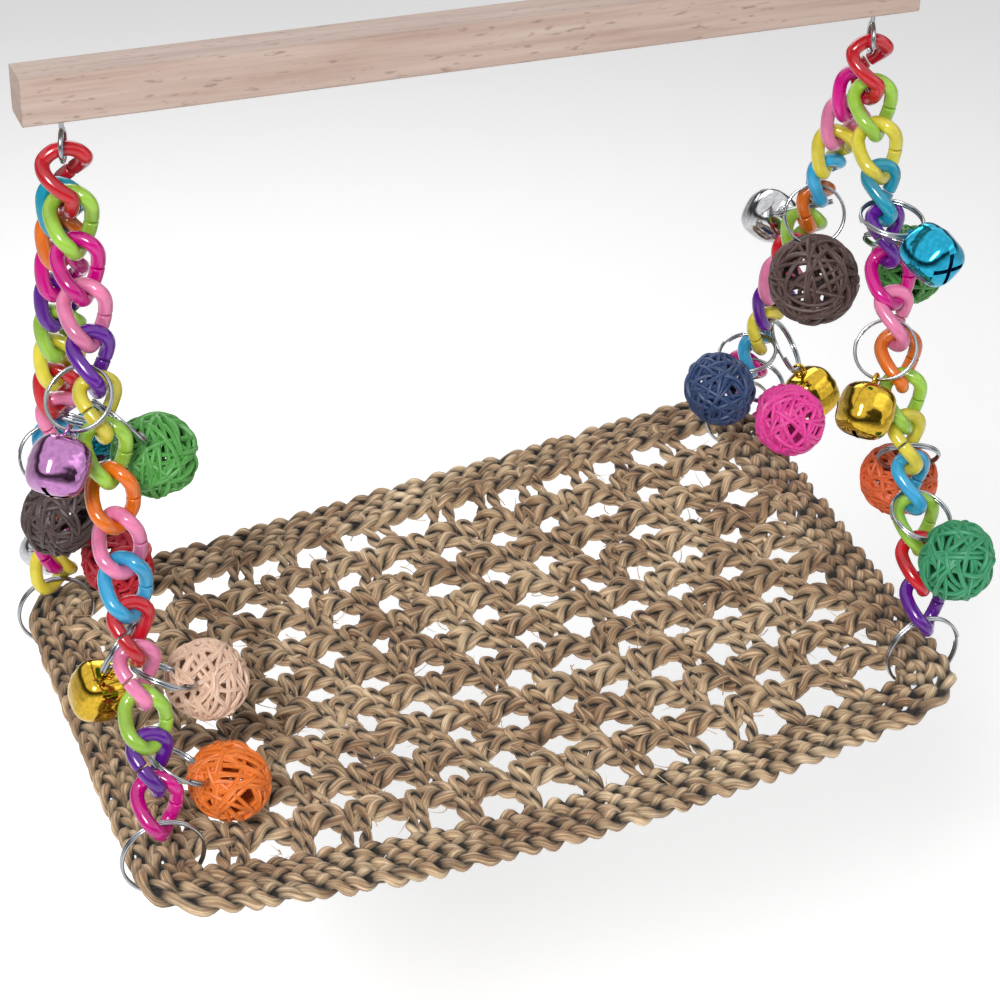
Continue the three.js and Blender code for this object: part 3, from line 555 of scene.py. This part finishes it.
def plated_metal(name, colour):
    """Bright tinted plating on pressed steel: a clear mirror with shallow dents left by the press."""
    made, tree, out = new_material(f"{name}_plated_metal")
    place = add(tree, "ShaderNodeTexCoord").outputs["Object"]
    dents = add(tree, "ShaderNodeTexNoise", {"Vector": place, "Scale": per_mm(9), "Detail": 2.0})
    bump = add(tree, "ShaderNodeBump", {"Height": dents.outputs["Fac"], "Strength": 0.5, "Distance": 0.0008})
    wear = add(tree, "ShaderNodeTexNoise", {"Vector": place, "Scale": per_mm(2), "Detail": 4.0})
    rough = add(tree, "ShaderNodeMapRange", {"Value": wear.outputs["Fac"], "To Min": 0.04, "To Max": 0.14})
    tone = colour_ramp(tree, wear.outputs["Fac"], [(0.4, darker(colour, 0.9)), (0.6, colour)])
    shader = add(tree, "ShaderNodeBsdfPrincipled", {"Base Color": tone, "Metallic": 1.0,
                                                    "Roughness": rough.outputs["Result"],
                                                    "Normal": bump.outputs["Normal"]})
    tree.links.new(shader.outputs["BSDF"], out.inputs["Surface"])
    return made


def lathe(radius, height, segments):
    """A profile from the lower pole to the upper one, carried round Z, with triangles at the poles."""
    turn = 2 * np.pi * np.arange(segments) / segments
    inner = np.stack([radius[1:-1, None] * np.cos(turn), radius[1:-1, None] * np.sin(turn),
                      height[1:-1, None] + 0 * turn], axis=-1).reshape(-1, 3)
    points = np.concatenate([inner, [[0, 0, height[0]], [0, 0, height[-1]]]])
    rows, side = np.arange(len(radius) - 3)[:, None] * segments, np.arange(segments)
    beside = (side + 1) % segments
    quads = np.stack([rows + side, rows + beside, rows + segments + beside, rows + segments + side], axis=-1)
    top = (len(radius) - 3) * segments
    south = np.stack([beside, side, np.full(segments, len(inner))], axis=-1)
    north = np.stack([top + side, top + beside, np.full(segments, len(inner) + 1)], axis=-1)
    faces = [quads.reshape(-1, 4), np.concatenate([south, north])]
    return points, faces, [np.zeros((*group.shape, 2)) for group in faces]


def bell_cup(inset, ridge):
    """A squared ellipse, with sine and cosine raised to one power, and a crimped ridge round the middle.

    In plan it is a rounded square: the spokes are divided by the power mean of their sine and cosine.
    """
    angle = np.linspace(-np.pi / 2, np.pi / 2, 41)
    wide = np.maximum(np.cos(angle), 0) ** BELL_SQUARENESS
    tall = np.sign(angle) * np.abs(np.sin(angle)) ** BELL_SQUARENESS
    height = (BELL_HALF_HEIGHT - inset) * tall
    radius = (BELL_RADIUS - CRIMP - inset) * wide + ridge * np.exp(-((height / CRIMP_HALF_WIDTH) ** 2))
    points, faces, uvs = lathe(radius, height, 48)
    turn = np.arctan2(points[:, 1], points[:, 0]) + np.pi / 4
    plan = (np.abs(np.cos(turn)) ** BELL_PLAN + np.abs(np.sin(turn)) ** BELL_PLAN) ** (-1 / BELL_PLAN)
    corner = 2 ** (0.5 - 1 / BELL_PLAN)
    return points * np.stack([plan / corner, plan / corner, 0 * plan + 1], axis=-1), faces, uvs


def slotted_shell():
    """The bell's wall, an outer and an inner cup, less a cross-shaped prism through its foot."""
    outer, inner = bell_cup(0.0, CRIMP), bell_cup(BELL_WALL, 0.0)
    inner = (inner[0], [face[:, ::-1] for face in inner[1]], inner[2])
    points, faces, _ = join(outer, inner)
    mesh = bpy.data.meshes.new("bell_wall")
    mesh.from_pydata(points.tolist(), [], [face.tolist() for group in faces for face in group])
    wall = bpy.data.objects.new("bell_wall", mesh)
    narrow, far = BELL_SLOT_WIDTH / 2, BELL_SLOT_LENGTH / 2
    cross, arm = [], [(far, -narrow), (far, narrow), (narrow, narrow)]
    for _ in range(4):
        cross += arm
        arm = [(-y, x) for x, y in arm]
    count = len(cross)
    levels = (-BELL_HALF_HEIGHT - BELL_SLOT_DEPTH, -BELL_HALF_HEIGHT + BELL_SLOT_DEPTH)
    prism = bpy.data.meshes.new("bell_slots")
    sides = [(i, (i + 1) % count, count + (i + 1) % count, count + i) for i in range(count)]
    prism.from_pydata([(x, y, z) for z in levels for x, y in cross], [],
                      [tuple(range(count - 1, -1, -1)), tuple(range(count, 2 * count)), *sides])
    cutter = bpy.data.objects.new("bell_slots", prism)
    for made in (wall, cutter):
        bpy.context.scene.collection.objects.link(made)
    slots = wall.modifiers.new("slots", "BOOLEAN")
    slots.operation, slots.object, slots.solver = "DIFFERENCE", cutter, "EXACT"
    bpy.context.view_layer.update()
    cut = bpy.data.meshes.new_from_object(wall.evaluated_get(bpy.context.evaluated_depsgraph_get()))
    points = np.empty(len(cut.vertices) * 3)
    cut.vertices.foreach_get("co", points)
    groups = {}
    for polygon in cut.polygons:
        groups.setdefault(len(polygon.vertices), []).append(tuple(polygon.vertices))
    faces = [np.array(group) for group in groups.values()]
    for made in (wall, cutter):
        bpy.data.objects.remove(made)
    for used in (mesh, prism, cut):
        bpy.data.meshes.remove(used)
    return points.reshape(-1, 3), faces, [np.zeros((*group.shape, 2)) for group in faces]


def staple():
    """A closed loop of wire that stands on the crown, and a low round boss that it is pinched into."""
    around = np.linspace(0, 2 * np.pi, 36, endpoint=False)
    loop = np.stack([0 * around, STAPLE_RADIUS * np.cos(around), STAPLE_RADIUS * np.sin(around)], axis=-1)
    loop[:, 2] += BELL_HALF_HEIGHT + STAPLE_RADIUS - STAPLE_SEAT
    angle = np.linspace(-np.pi / 2, np.pi / 2, 9)
    boss = lathe(BOSS_RADIUS * np.cos(angle), BELL_HALF_HEIGHT + BOSS_RISE * np.sin(angle), 24)
    return join(tubes(loop[None], STAPLE_WIRE / 2, 10, (1, 0, 0), closed=True), boss)


BELL = join(slotted_shell(), staple())
polar = np.linspace(-np.pi / 2, np.pi / 2, 17)
PELLET = lathe(PELLET_RADIUS * np.cos(polar), PELLET_RADIUS * np.sin(polar), 24)
PLATED = {name: plated_metal(name, colour) for name, colour in PLATING.items()}
for toy, kind, hinge, axes in TOYS:
    if kind == "bell":
        colour = toy.split("_", 2)[2][:-len("_bell")]
        middle = hinge + axes[:, 2] * BELL_MIDDLE
        shape = moved(BELL, axes, middle)
        piece(f"{toy}_shell", shape, PLATED[colour], f"{toy}_toy", f"{colour}_bell_metal", toy)
        pellet = f"{toy[:-len('_bell')]}_pellet"
        shape = moved(PELLET, np.eye(3), box_middle(pellet))
        piece(f"{toy}_rattle", shape, STEEL, f"{toy}_toy", "steel_wire", pellet)

# The mat: dried seagrass. Three plaits of three strands make the border. Pairs of two-ply ropes run from end
# to end in waves, and loops of thinner rope go over one pair and under the next, which ties them together.

MAT_HALF_WIDTH, MAT_HALF_LENGTH, BORDER_WIDTH = 116.0, EYE_SPACING / 2, 28.0
RING_INSET, NET_LAP = 2.0, 4.0  # how far inside the border the corner rings are, and the net runs into it
RING_HALF_SPACING = MAT_HALF_WIDTH - BORDER_WIDTH / 2 - RING_INSET
BORDER_CORNER_RADIUS, BORDER_CLEARANCE = 15.0, 1.1
NET_HALF_LENGTH = MAT_HALF_LENGTH - BORDER_WIDTH / 2 + NET_LAP
NET_HALF_WIDTH = MAT_HALF_WIDTH - BORDER_WIDTH / 2 + NET_LAP
GAP_COLUMNS, GAP_ROWS = 13, 9
FRONT_SAG, FIELD_SAG = 19.0, 3.0
ROPE_LAY, PLAIT_LAY = 19.0, 31.0  # length of a ply's turn round its rope, and of a strand's in its plait
LONG_PLY, HITCH_PLY, BORDER_STRAND = 2.35, 1.8, 2.35  # radius of a ply of each rope, and of a border strand
PLY_SPREAD = 0.8  # how far a ply's middle lies from its rope's, as a share of its radius
PLAIT_SWING, PLAIT_RISE = 3.0, 2.2  # how far a strand swings across its plait, and up and down
PLAIT_APART = 8.6  # spacing of the three plaits
PLAIT_PULL, PLAIT_SLACK = 0.2, 0.16  # how unevenly a strand was pulled: radians, and share of its swing
WAVE, PAIR = 1.0, 3.7  # how far the long ropes swing round the gaps, and half the spacing of a pair
ROPE_DRIFT, ROPE_BUMP = 1.5, 0.5  # how far the long ropes stray sideways, and up and down
ROPE_DIP, LOOP_RISE = 2.6, 2.2  # how far the ropes dip under the loops, and the loops rise over the ropes
LOOP_HALF_WIDTH, LOOP_REACH, LOOP_SLANT = (2.3, 4.8), (14.0, 16.0), 0.3  # ranges of the loops' sizes and lean
LOOP_SHORT = 3.6  # how much less a loop reaches to the front than to the back
FIBRES, FIBRE_RADIUS, FIBRE_LENGTH = 260, 0.32, (7, 17)
FIBRE_REACH = 12.0  # how far past the middle of the border a fibre may reach
NET_SHADE_SHARE = 0.94  # the net's ropes get more painted shade in their creases than the border's, for where they shade each other
BLADE_SLANT = 0.2  # radians by which the blades wind round a strand
GRASS_DARK, GRASS_BROWN, GRASS_MID, GRASS_LIGHT = "4A3522", "805F44", "A88B6A", "DDC5A2"


def dried_seagrass():
    """Dried seagrass: flat blades twisted together, so streaks of straw and brown run along each ply.

    The creases between plies are painted darker as painted shade, and the crests lighter as painted
    highlight: "outer" says how far out of its rope or plait a point stands.
    """
    made, tree, out = new_material("dried_seagrass_rope")
    along = add(tree, "ShaderNodeUVMap", uv_map="along_and_around").outputs["UV"]
    slant = (0, 0, BLADE_SLANT)
    blades = add(tree, "ShaderNodeMapping", {"Vector": along, "Scale": (0.035, 0.75, 1), "Rotation": slant})
    streaks = add(tree, "ShaderNodeTexNoise", {"Vector": blades.outputs["Vector"], "Scale": 1.0,
                                               "Detail": 5.0, "Roughness": 0.7})
    place = add(tree, "ShaderNodeTexCoord").outputs["Object"]
    patches = add(tree, "ShaderNodeTexNoise", {"Vector": place, "Scale": per_mm(26), "Detail": 3.0})
    patch = add(tree, "ShaderNodeMath", {0: patches.outputs["Fac"], 1: 0.35}, operation="MULTIPLY")
    mixed = add(tree, "ShaderNodeMath", {0: streaks.outputs["Fac"], 1: 0.75, 2: patch.outputs[0]},
                operation="MULTIPLY_ADD")
    tone = colour_ramp(tree, mixed.outputs[0], [(0.38, GRASS_DARK), (0.47, GRASS_BROWN), (0.55, GRASS_MID),
                                                (0.68, GRASS_LIGHT)])
    # Painted shade and highlight: by "outer", the tone is scaled down towards black in the creases between
    # plies and up past its own value on the crests.
    outer = add(tree, "ShaderNodeAttribute", attribute_name="outer").outputs["Fac"]
    shade = add(tree, "ShaderNodeMapRange", {"Value": outer, "From Min": 0.46, "From Max": 0.97,
                                             "To Min": 0.02, "To Max": 1.3})
    shaded = add(tree, "ShaderNodeVectorMath", {0: tone, 3: shade.outputs["Result"]}, operation="SCALE")
    fibres = add(tree, "ShaderNodeMapping", {"Vector": along, "Scale": (0.06, 2.0, 1), "Rotation": slant})
    ridges = add(tree, "ShaderNodeTexNoise", {"Vector": fibres.outputs["Vector"], "Scale": 1.0, "Detail": 4.0,
                                              "Roughness": 0.6})
    bump = add(tree, "ShaderNodeBump", {"Height": ridges.outputs["Fac"], "Strength": 0.8, "Distance": 0.0009})
    shader = add(tree, "ShaderNodeBsdfPrincipled", {"Base Color": shaded.outputs[0], "Roughness": 0.7,
                                                    "Sheen Weight": 0.1, "Normal": bump.outputs["Normal"]})
    tree.links.new(shader.outputs["BSDF"], out.inputs["Surface"])
    return made


SEAGRASS = dried_seagrass()
RING_INSIDE = (CORNER_RING_RADIUS - CORNER_RING_WIRE / 2) * math.cos(math.pi / 16)
BORDER_DROP = math.sqrt(RING_INSIDE**2 - (BORDER_WIDTH / 2) ** 2) - BORDER_CLEARANCE
BORDER_AT = {chain: box_middle(f"{chain}_corner_ring")[2] - BORDER_DROP for chain in CHAIN_LINKS}


def mat_height(x, y):
    """The mat's middle surface: straight between its four corners, less a sag, deepest at the front."""
    along = (x / MAT_HALF_LENGTH + 1) / 2
    across = (y / RING_HALF_SPACING + 1) / 2
    front = BORDER_AT["front_left"] + (BORDER_AT["front_right"] - BORDER_AT["front_left"]) * along
    back = BORDER_AT["back_left"] + (BORDER_AT["back_right"] - BORDER_AT["back_left"]) * along
    bow = 1 - (x / MAT_HALF_LENGTH) ** 2
    hollow = FIELD_SAG * (1 - (y / MAT_HALF_WIDTH) ** 2)
    return front + (back - front) * across - bow * (FRONT_SAG * (1 - y / MAT_HALF_WIDTH) / 2 + hollow)


def uneven(paths, radius):
    """A strand's radius along each path: two slow waves, thicker and thinner, as its blades start and end."""
    length, start = distance_along(paths), np.arange(len(paths))[:, None] * 1.7
    return radius * (1 + 0.08 * np.sin(length * 0.31 + start) + 0.05 * np.sin(length * 0.83 + 2 * start))


def rope(paths, reference, hand, ply, sides=8, closed=False):
    """Two plies wound round each path: each a helix that turns once in a lay, half a turn from the other.

    With the shape comes each point's distance from the rope's middle, as a share of the rope's radius.
    """
    _, across, third = frames(paths, reference, closed)
    length = distance_along(paths)
    turns = length / ROPE_LAY
    if closed:
        loop = length[:, -1:] + np.linalg.norm(paths[:, :1] - paths[:, -1:], axis=-1)
        turns = length / loop * np.round(loop / ROPE_LAY)
    spread = PLY_SPREAD * ply
    plies = []
    for start in (0, np.pi):
        spin = (hand * 2 * np.pi * turns + start)[:, :, None]
        plies.append(paths + spread * (np.cos(spin) * across + np.sin(spin) * third))
    plies = np.concatenate(plies)
    reference = np.concatenate([np.broadcast_to(reference, paths.shape)] * 2)
    points, faces, uvs = tubes(plies, uneven(plies, ply), sides, reference, closed)
    middle = np.repeat(np.concatenate([paths, paths]).reshape(-1, 3), sides, axis=0)
    outer = np.linalg.norm(points - middle, axis=-1) / (spread + ply)
    return (points, faces, uvs), outer


def round_border(count):
    """Points along the middle of the border, a rounded rectangle, run from the front of the right side.

    With the points come their outward directions, their shares of the whole length, and that length.
    """
    r = BORDER_CORNER_RADIUS
    x, y = MAT_HALF_LENGTH - r, MAT_HALF_WIDTH - r
    quarter = math.pi / 2 * r
    total = 4 * x + 4 * y + 4 * quarter
    s = np.linspace(0, total, count, endpoint=False)
    marks = np.cumsum([2 * y, quarter, 2 * x, quarter, 2 * y, quarter, 2 * x, quarter])
    part = np.searchsorted(marks, s, side="right")
    into = s - np.concatenate([[0], marks])[part]
    turn = np.where(part % 2 == 1, into / r, 0) + part // 2 * np.pi / 2
    outward = np.stack([np.cos(turn), np.sin(turn)], axis=-1)
    forward = np.stack([-np.sin(turn), np.cos(turn)], axis=-1)
    corner = np.array([[x, y], [-x, y], [-x, -y], [x, -y]])
    start = np.array([[x + r, -y], [x, y + r], [-x - r, y], [-x, -y - r]])
    straight = start[part // 2] + forward * into[:, None]
    bend = corner[part // 2] + outward * r
    return np.where((part % 2 == 0)[:, None], straight, bend), outward, s / total, total


draw = np.random.default_rng(11)


def border_plaits():
    """Three flat plaits side by side along the border, each of three strands.

    Each strand swings across its plait as a sine, a third of a turn from the next, and up and down at twice
    that pace. With the shape comes how far out of its plait each point stands, as a share.
    """
    middle, outward, share, total = round_border(900)
    level = mat_height(middle[:, 0], middle[:, 1])
    paths, plaits = [], []
    for plait in (-1, 0, 1):
        offset = plait * PLAIT_APART
        for number in range(3):
            swing = 2 * np.pi * (round(total / PLAIT_LAY) * share + number / 3) + 0.8 * plait
            swing = swing + sum(PLAIT_PULL * np.sin(2 * np.pi * wave * share + draw.uniform(0, 6))
                                for wave in (7, 16, 29))
            slack = 1 + PLAIT_SLACK * np.sin(2 * np.pi * 23 * share + draw.uniform(0, 6))
            flat = middle + outward * (offset + slack * PLAIT_SWING * np.sin(swing))[:, None]
            height = level + slack * PLAIT_RISE * np.sin(2 * swing)
            paths.append(np.concatenate([flat, height[:, None]], axis=-1))
            plaits.append(np.concatenate([middle + outward * offset, level[:, None]], axis=-1))
    paths, sides = np.stack(paths), 8
    points, faces, uvs = tubes(paths, uneven(paths, BORDER_STRAND), sides, (0, 0, 1), closed=True)
    apart = points - np.repeat(np.stack(plaits).reshape(-1, 3), sides, axis=0)
    high = np.abs(apart[:, 2]) / (PLAIT_RISE + BORDER_STRAND)
    wide = np.linalg.norm(apart[:, :2], axis=-1) / (PLAIT_SWING + BORDER_STRAND)
    return (points, faces, uvs), np.maximum(high, wide)


HALF_COLUMN = NET_HALF_LENGTH / GAP_COLUMNS
ROW_STEP = 2 * NET_HALF_WIDTH / GAP_ROWS


def long_ropes():
    """Pairs of ropes between the rows of gaps: cosines along the mat, each half a wave off the next.

    The same wave takes them down where a loop goes over them and up where one goes under.
    """
    x = np.linspace(-MAT_HALF_LENGTH + 5, MAT_HALF_LENGTH - 5, 260)
    line = np.arange(1, GAP_ROWS)[:, None]
    column = (x + NET_HALF_LENGTH) / HALF_COLUMN
    shapes, outers = [], []
    for side in (-1, 1):
        wave = np.cos(np.pi * (column - line))
        drift = ROPE_DRIFT * np.sin(x / 31 + draw.uniform(0, 6, line.shape))
        y = -NET_HALF_WIDTH + line * ROW_STEP + WAVE * wave + drift + side * PAIR
        bumps = ROPE_BUMP * np.sin(x / 17 + draw.uniform(0, 6, line.shape))
        z = mat_height(x, y) + ROPE_DIP * wave + bumps
        shape, outer = rope(np.stack([x + 0 * y, y, z], axis=-1), (0, 0, 1), side, LONG_PLY)
        shapes.append(shape)
        outers.append(outer)
    # Painted shade: the net's creases are painted darker than the border's.
    return join(*shapes), NET_SHADE_SHARE * np.concatenate(outers)


def hitches():
    """Loops between neighbouring ropes: ovals in XY that rise over the rope behind and dip under the next."""
    spots = np.array([(-NET_HALF_LENGTH + HALF_COLUMN * column, -NET_HALF_WIDTH + (row + 0.5) * ROW_STEP)
                      for row in range(GAP_ROWS) for column in range(2 - row % 2, 2 * GAP_COLUMNS, 2)])
    count = len(spots)
    turn = np.linspace(0, 2 * np.pi, 56, endpoint=False)
    half_width = draw.uniform(*LOOP_HALF_WIDTH, (count, 1))
    reach = draw.uniform(*LOOP_REACH, (count, 1))
    slant = draw.uniform(-LOOP_SLANT, LOOP_SLANT, (count, 1))
    across = np.where(np.sin(turn) > 0, reach, reach - LOOP_SHORT) * np.sin(turn)
    side = np.sign(np.cos(turn)) * np.abs(np.cos(turn)) ** 0.6
    x = spots[:, :1] + draw.normal(0, 2.0, (count, 1)) + half_width * side + slant * across
    y = spots[:, 1:] + draw.normal(0, 0.8, (count, 1)) + across
    z = mat_height(x, y) + LOOP_RISE * np.sin(turn) ** 3 + 0.6 * np.sin(turn)
    shape, outer = rope(np.stack([x, y, z], axis=-1), (0, 0, 1), -1, HITCH_PLY, sides=7, closed=True)
    # Painted shade: the loops' creases are painted darker than the border's.
    return shape, NET_SHADE_SHARE * outer


def loose_fibres():
    """Thin frayed blades that leave the weave: short arcs that start level and lift or droop."""
    spot = draw.uniform(-1, 1, (FIBRES, 2)) * (MAT_HALF_LENGTH, MAT_HALF_WIDTH)
    heading, long = draw.uniform(0, 2 * np.pi, (FIBRES, 1)), draw.uniform(*FIBRE_LENGTH, (FIBRES, 1))
    lift, curl = draw.uniform(-0.5, 0.9, (FIBRES, 1)), draw.normal(0, 0.5, (FIBRES, 1))
    t = np.linspace(0, 1, 6)
    x = spot[:, :1] + long * t * np.cos(heading + curl * t)
    y = spot[:, 1:] + long * t * np.sin(heading + curl * t)
    x = np.clip(x, -MAT_HALF_LENGTH - FIBRE_REACH, MAT_HALF_LENGTH + FIBRE_REACH)
    y = np.clip(y, -MAT_HALF_WIDTH - FIBRE_REACH, MAT_HALF_WIDTH + FIBRE_REACH)
    z = mat_height(x, y) + np.sign(lift) * 2.5 + long * lift * 0.5 * t**1.5
    points, faces, uvs = tubes(np.stack([x, y, z], axis=-1), FIBRE_RADIUS * (1 - 0.8 * t), 4, (0, 0, 1))
    # Every point counts as fully out, so the fibres take the full painted highlight of a crest.
    return (points, faces, uvs), np.ones(len(points))


for name, (shape, outer) in (("mat_border", border_plaits()), ("mat_long_ropes", long_ropes()),
                             ("mat_hitches", hitches()), ("mat_fibres", loose_fibres())):
    made = piece(name, shape, SEAGRASS, "hammock_mat", "seagrass_rope", "mat")
    # The "outer" attribute sets the seagrass's painted shade in the creases and painted highlight on the
    # crests.
    layer = made.data.attributes.new("outer", "FLOAT", "POINT")
    layer.data.foreach_set("value", outer.astype(np.float32))

# The stage: a pale floor well below the mat, soft lamps round it, and a camera at the photograph's angle.

FLOOR_SIZE, FLOOR_DROP, FLOOR_GLOW = 12, 0.36, 0.28
low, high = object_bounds()
bpy.ops.mesh.primitive_plane_add(size=FLOOR_SIZE, location=(0, 0, low[2] - FLOOR_DROP))
floor = bpy.context.object
floor.name = "floor"
matt, tree, out = new_material("pale_floor")
pale = add(tree, "ShaderNodeBsdfPrincipled", {
    "Base Color": linear("FAFAFA"), "Roughness": 1.0, "Specular IOR Level": 0.0,
    "Emission Color": linear("FFFFFF"), "Emission Strength": FLOOR_GLOW})
tree.links.new(pale.outputs["BSDF"], out.inputs["Surface"])
floor.data.materials.append(matt)

world = bpy.data.worlds.new("studio")
bpy.context.scene.world = world
world.use_nodes = True
tree = world.node_tree
tree.nodes.clear()
out = tree.nodes.new("ShaderNodeOutputWorld")
rays = add(tree, "ShaderNodeLightPath").outputs
mirrored = add(tree, "ShaderNodeMath", {0: rays["Is Glossy Ray"], 1: rays["Is Transmission Ray"]},
               operation="MAXIMUM")
toward = add(tree, "ShaderNodeTexCoord").outputs["Generated"]
rise = add(tree, "ShaderNodeSeparateXYZ", {"Vector": toward}).outputs["Z"]
walls = colour_ramp(tree, rise, [(0.0, "8C8C8C"), (0.12, "3C3C3C"), (0.3, "565656"), (0.42, "FFFFFF")])
plain = add(tree, "ShaderNodeBackground", {"Color": (1, 1, 1, 1), "Strength": 0.3})
white = add(tree, "ShaderNodeBackground", {"Color": (1, 1, 1, 1), "Strength": 1.0})
room = add(tree, "ShaderNodeBackground", {"Color": walls, "Strength": 1.15})
lit = add(tree, "ShaderNodeMixShader", {0: mirrored.outputs[0], 1: plain.outputs[0], 2: room.outputs[0]})
mixed = add(tree, "ShaderNodeMixShader", {0: rays["Is Camera Ray"], 1: lit.outputs[0], 2: white.outputs[0]})
tree.links.new(mixed.outputs[0], out.inputs["Surface"])

AIM = Vector((0, 0, -0.22))
LAMPS = (
    ("key", (-1.0, -1.4, 1.2), 0.6, 42), ("fill", (1.2, -0.8, 0.2), 1.0, 3), ("rim", (0.2, 1.2, 0.5), 0.9, 7),
)
for name, place, size, watts in LAMPS:
    lamp = bpy.data.lights.new(name, "AREA")
    lamp.size, lamp.energy = size, watts
    made = bpy.data.objects.new(name, lamp)
    made.location = place
    made.rotation_euler = (AIM - Vector(place)).to_track_quat("-Z", "Y").to_euler()
    bpy.context.scene.collection.objects.link(made)

AZIMUTH, ELEVATION, ROLL = math.radians(-21.75), math.radians(31.24), math.radians(1.12)
FOCAL_PIXELS, PICTURE_PIXELS = 2629.2, 1000
DISTANCE, CENTRE = 1105.6, (5.16, -167.04)  # in millimetres, from the foot of the screw eyes
level = np.array([math.cos(AZIMUTH), math.sin(AZIMUTH), 0])
back = np.array([math.sin(AZIMUTH), -math.cos(AZIMUTH), 0]) * math.cos(ELEVATION)
back[2] = math.sin(ELEVATION)
steep = np.cross(back, level)
right = math.cos(ROLL) * level + math.sin(ROLL) * steep
upward = math.cos(ROLL) * steep - math.sin(ROLL) * level
place = CENTRE[0] * right + CENTRE[1] * upward + DISTANCE * back + np.array([0, 0, EYE_FOOT])
camera = bpy.data.cameras.new("photograph")
camera.sensor_width = 36
camera.lens = FOCAL_PIXELS / PICTURE_PIXELS * camera.sensor_width
camera.clip_start, camera.clip_end = 0.01, 50
view = bpy.data.objects.new("photograph", camera)
view.rotation_mode = "QUATERNION"
view.rotation_quaternion = Matrix(np.stack([right, upward, back], axis=-1).tolist()).to_quaternion()
view.location = place * MM
bpy.context.scene.collection.objects.link(view)
bpy.context.scene.camera = view
bpy.context.scene.view_settings.view_transform = "Standard"
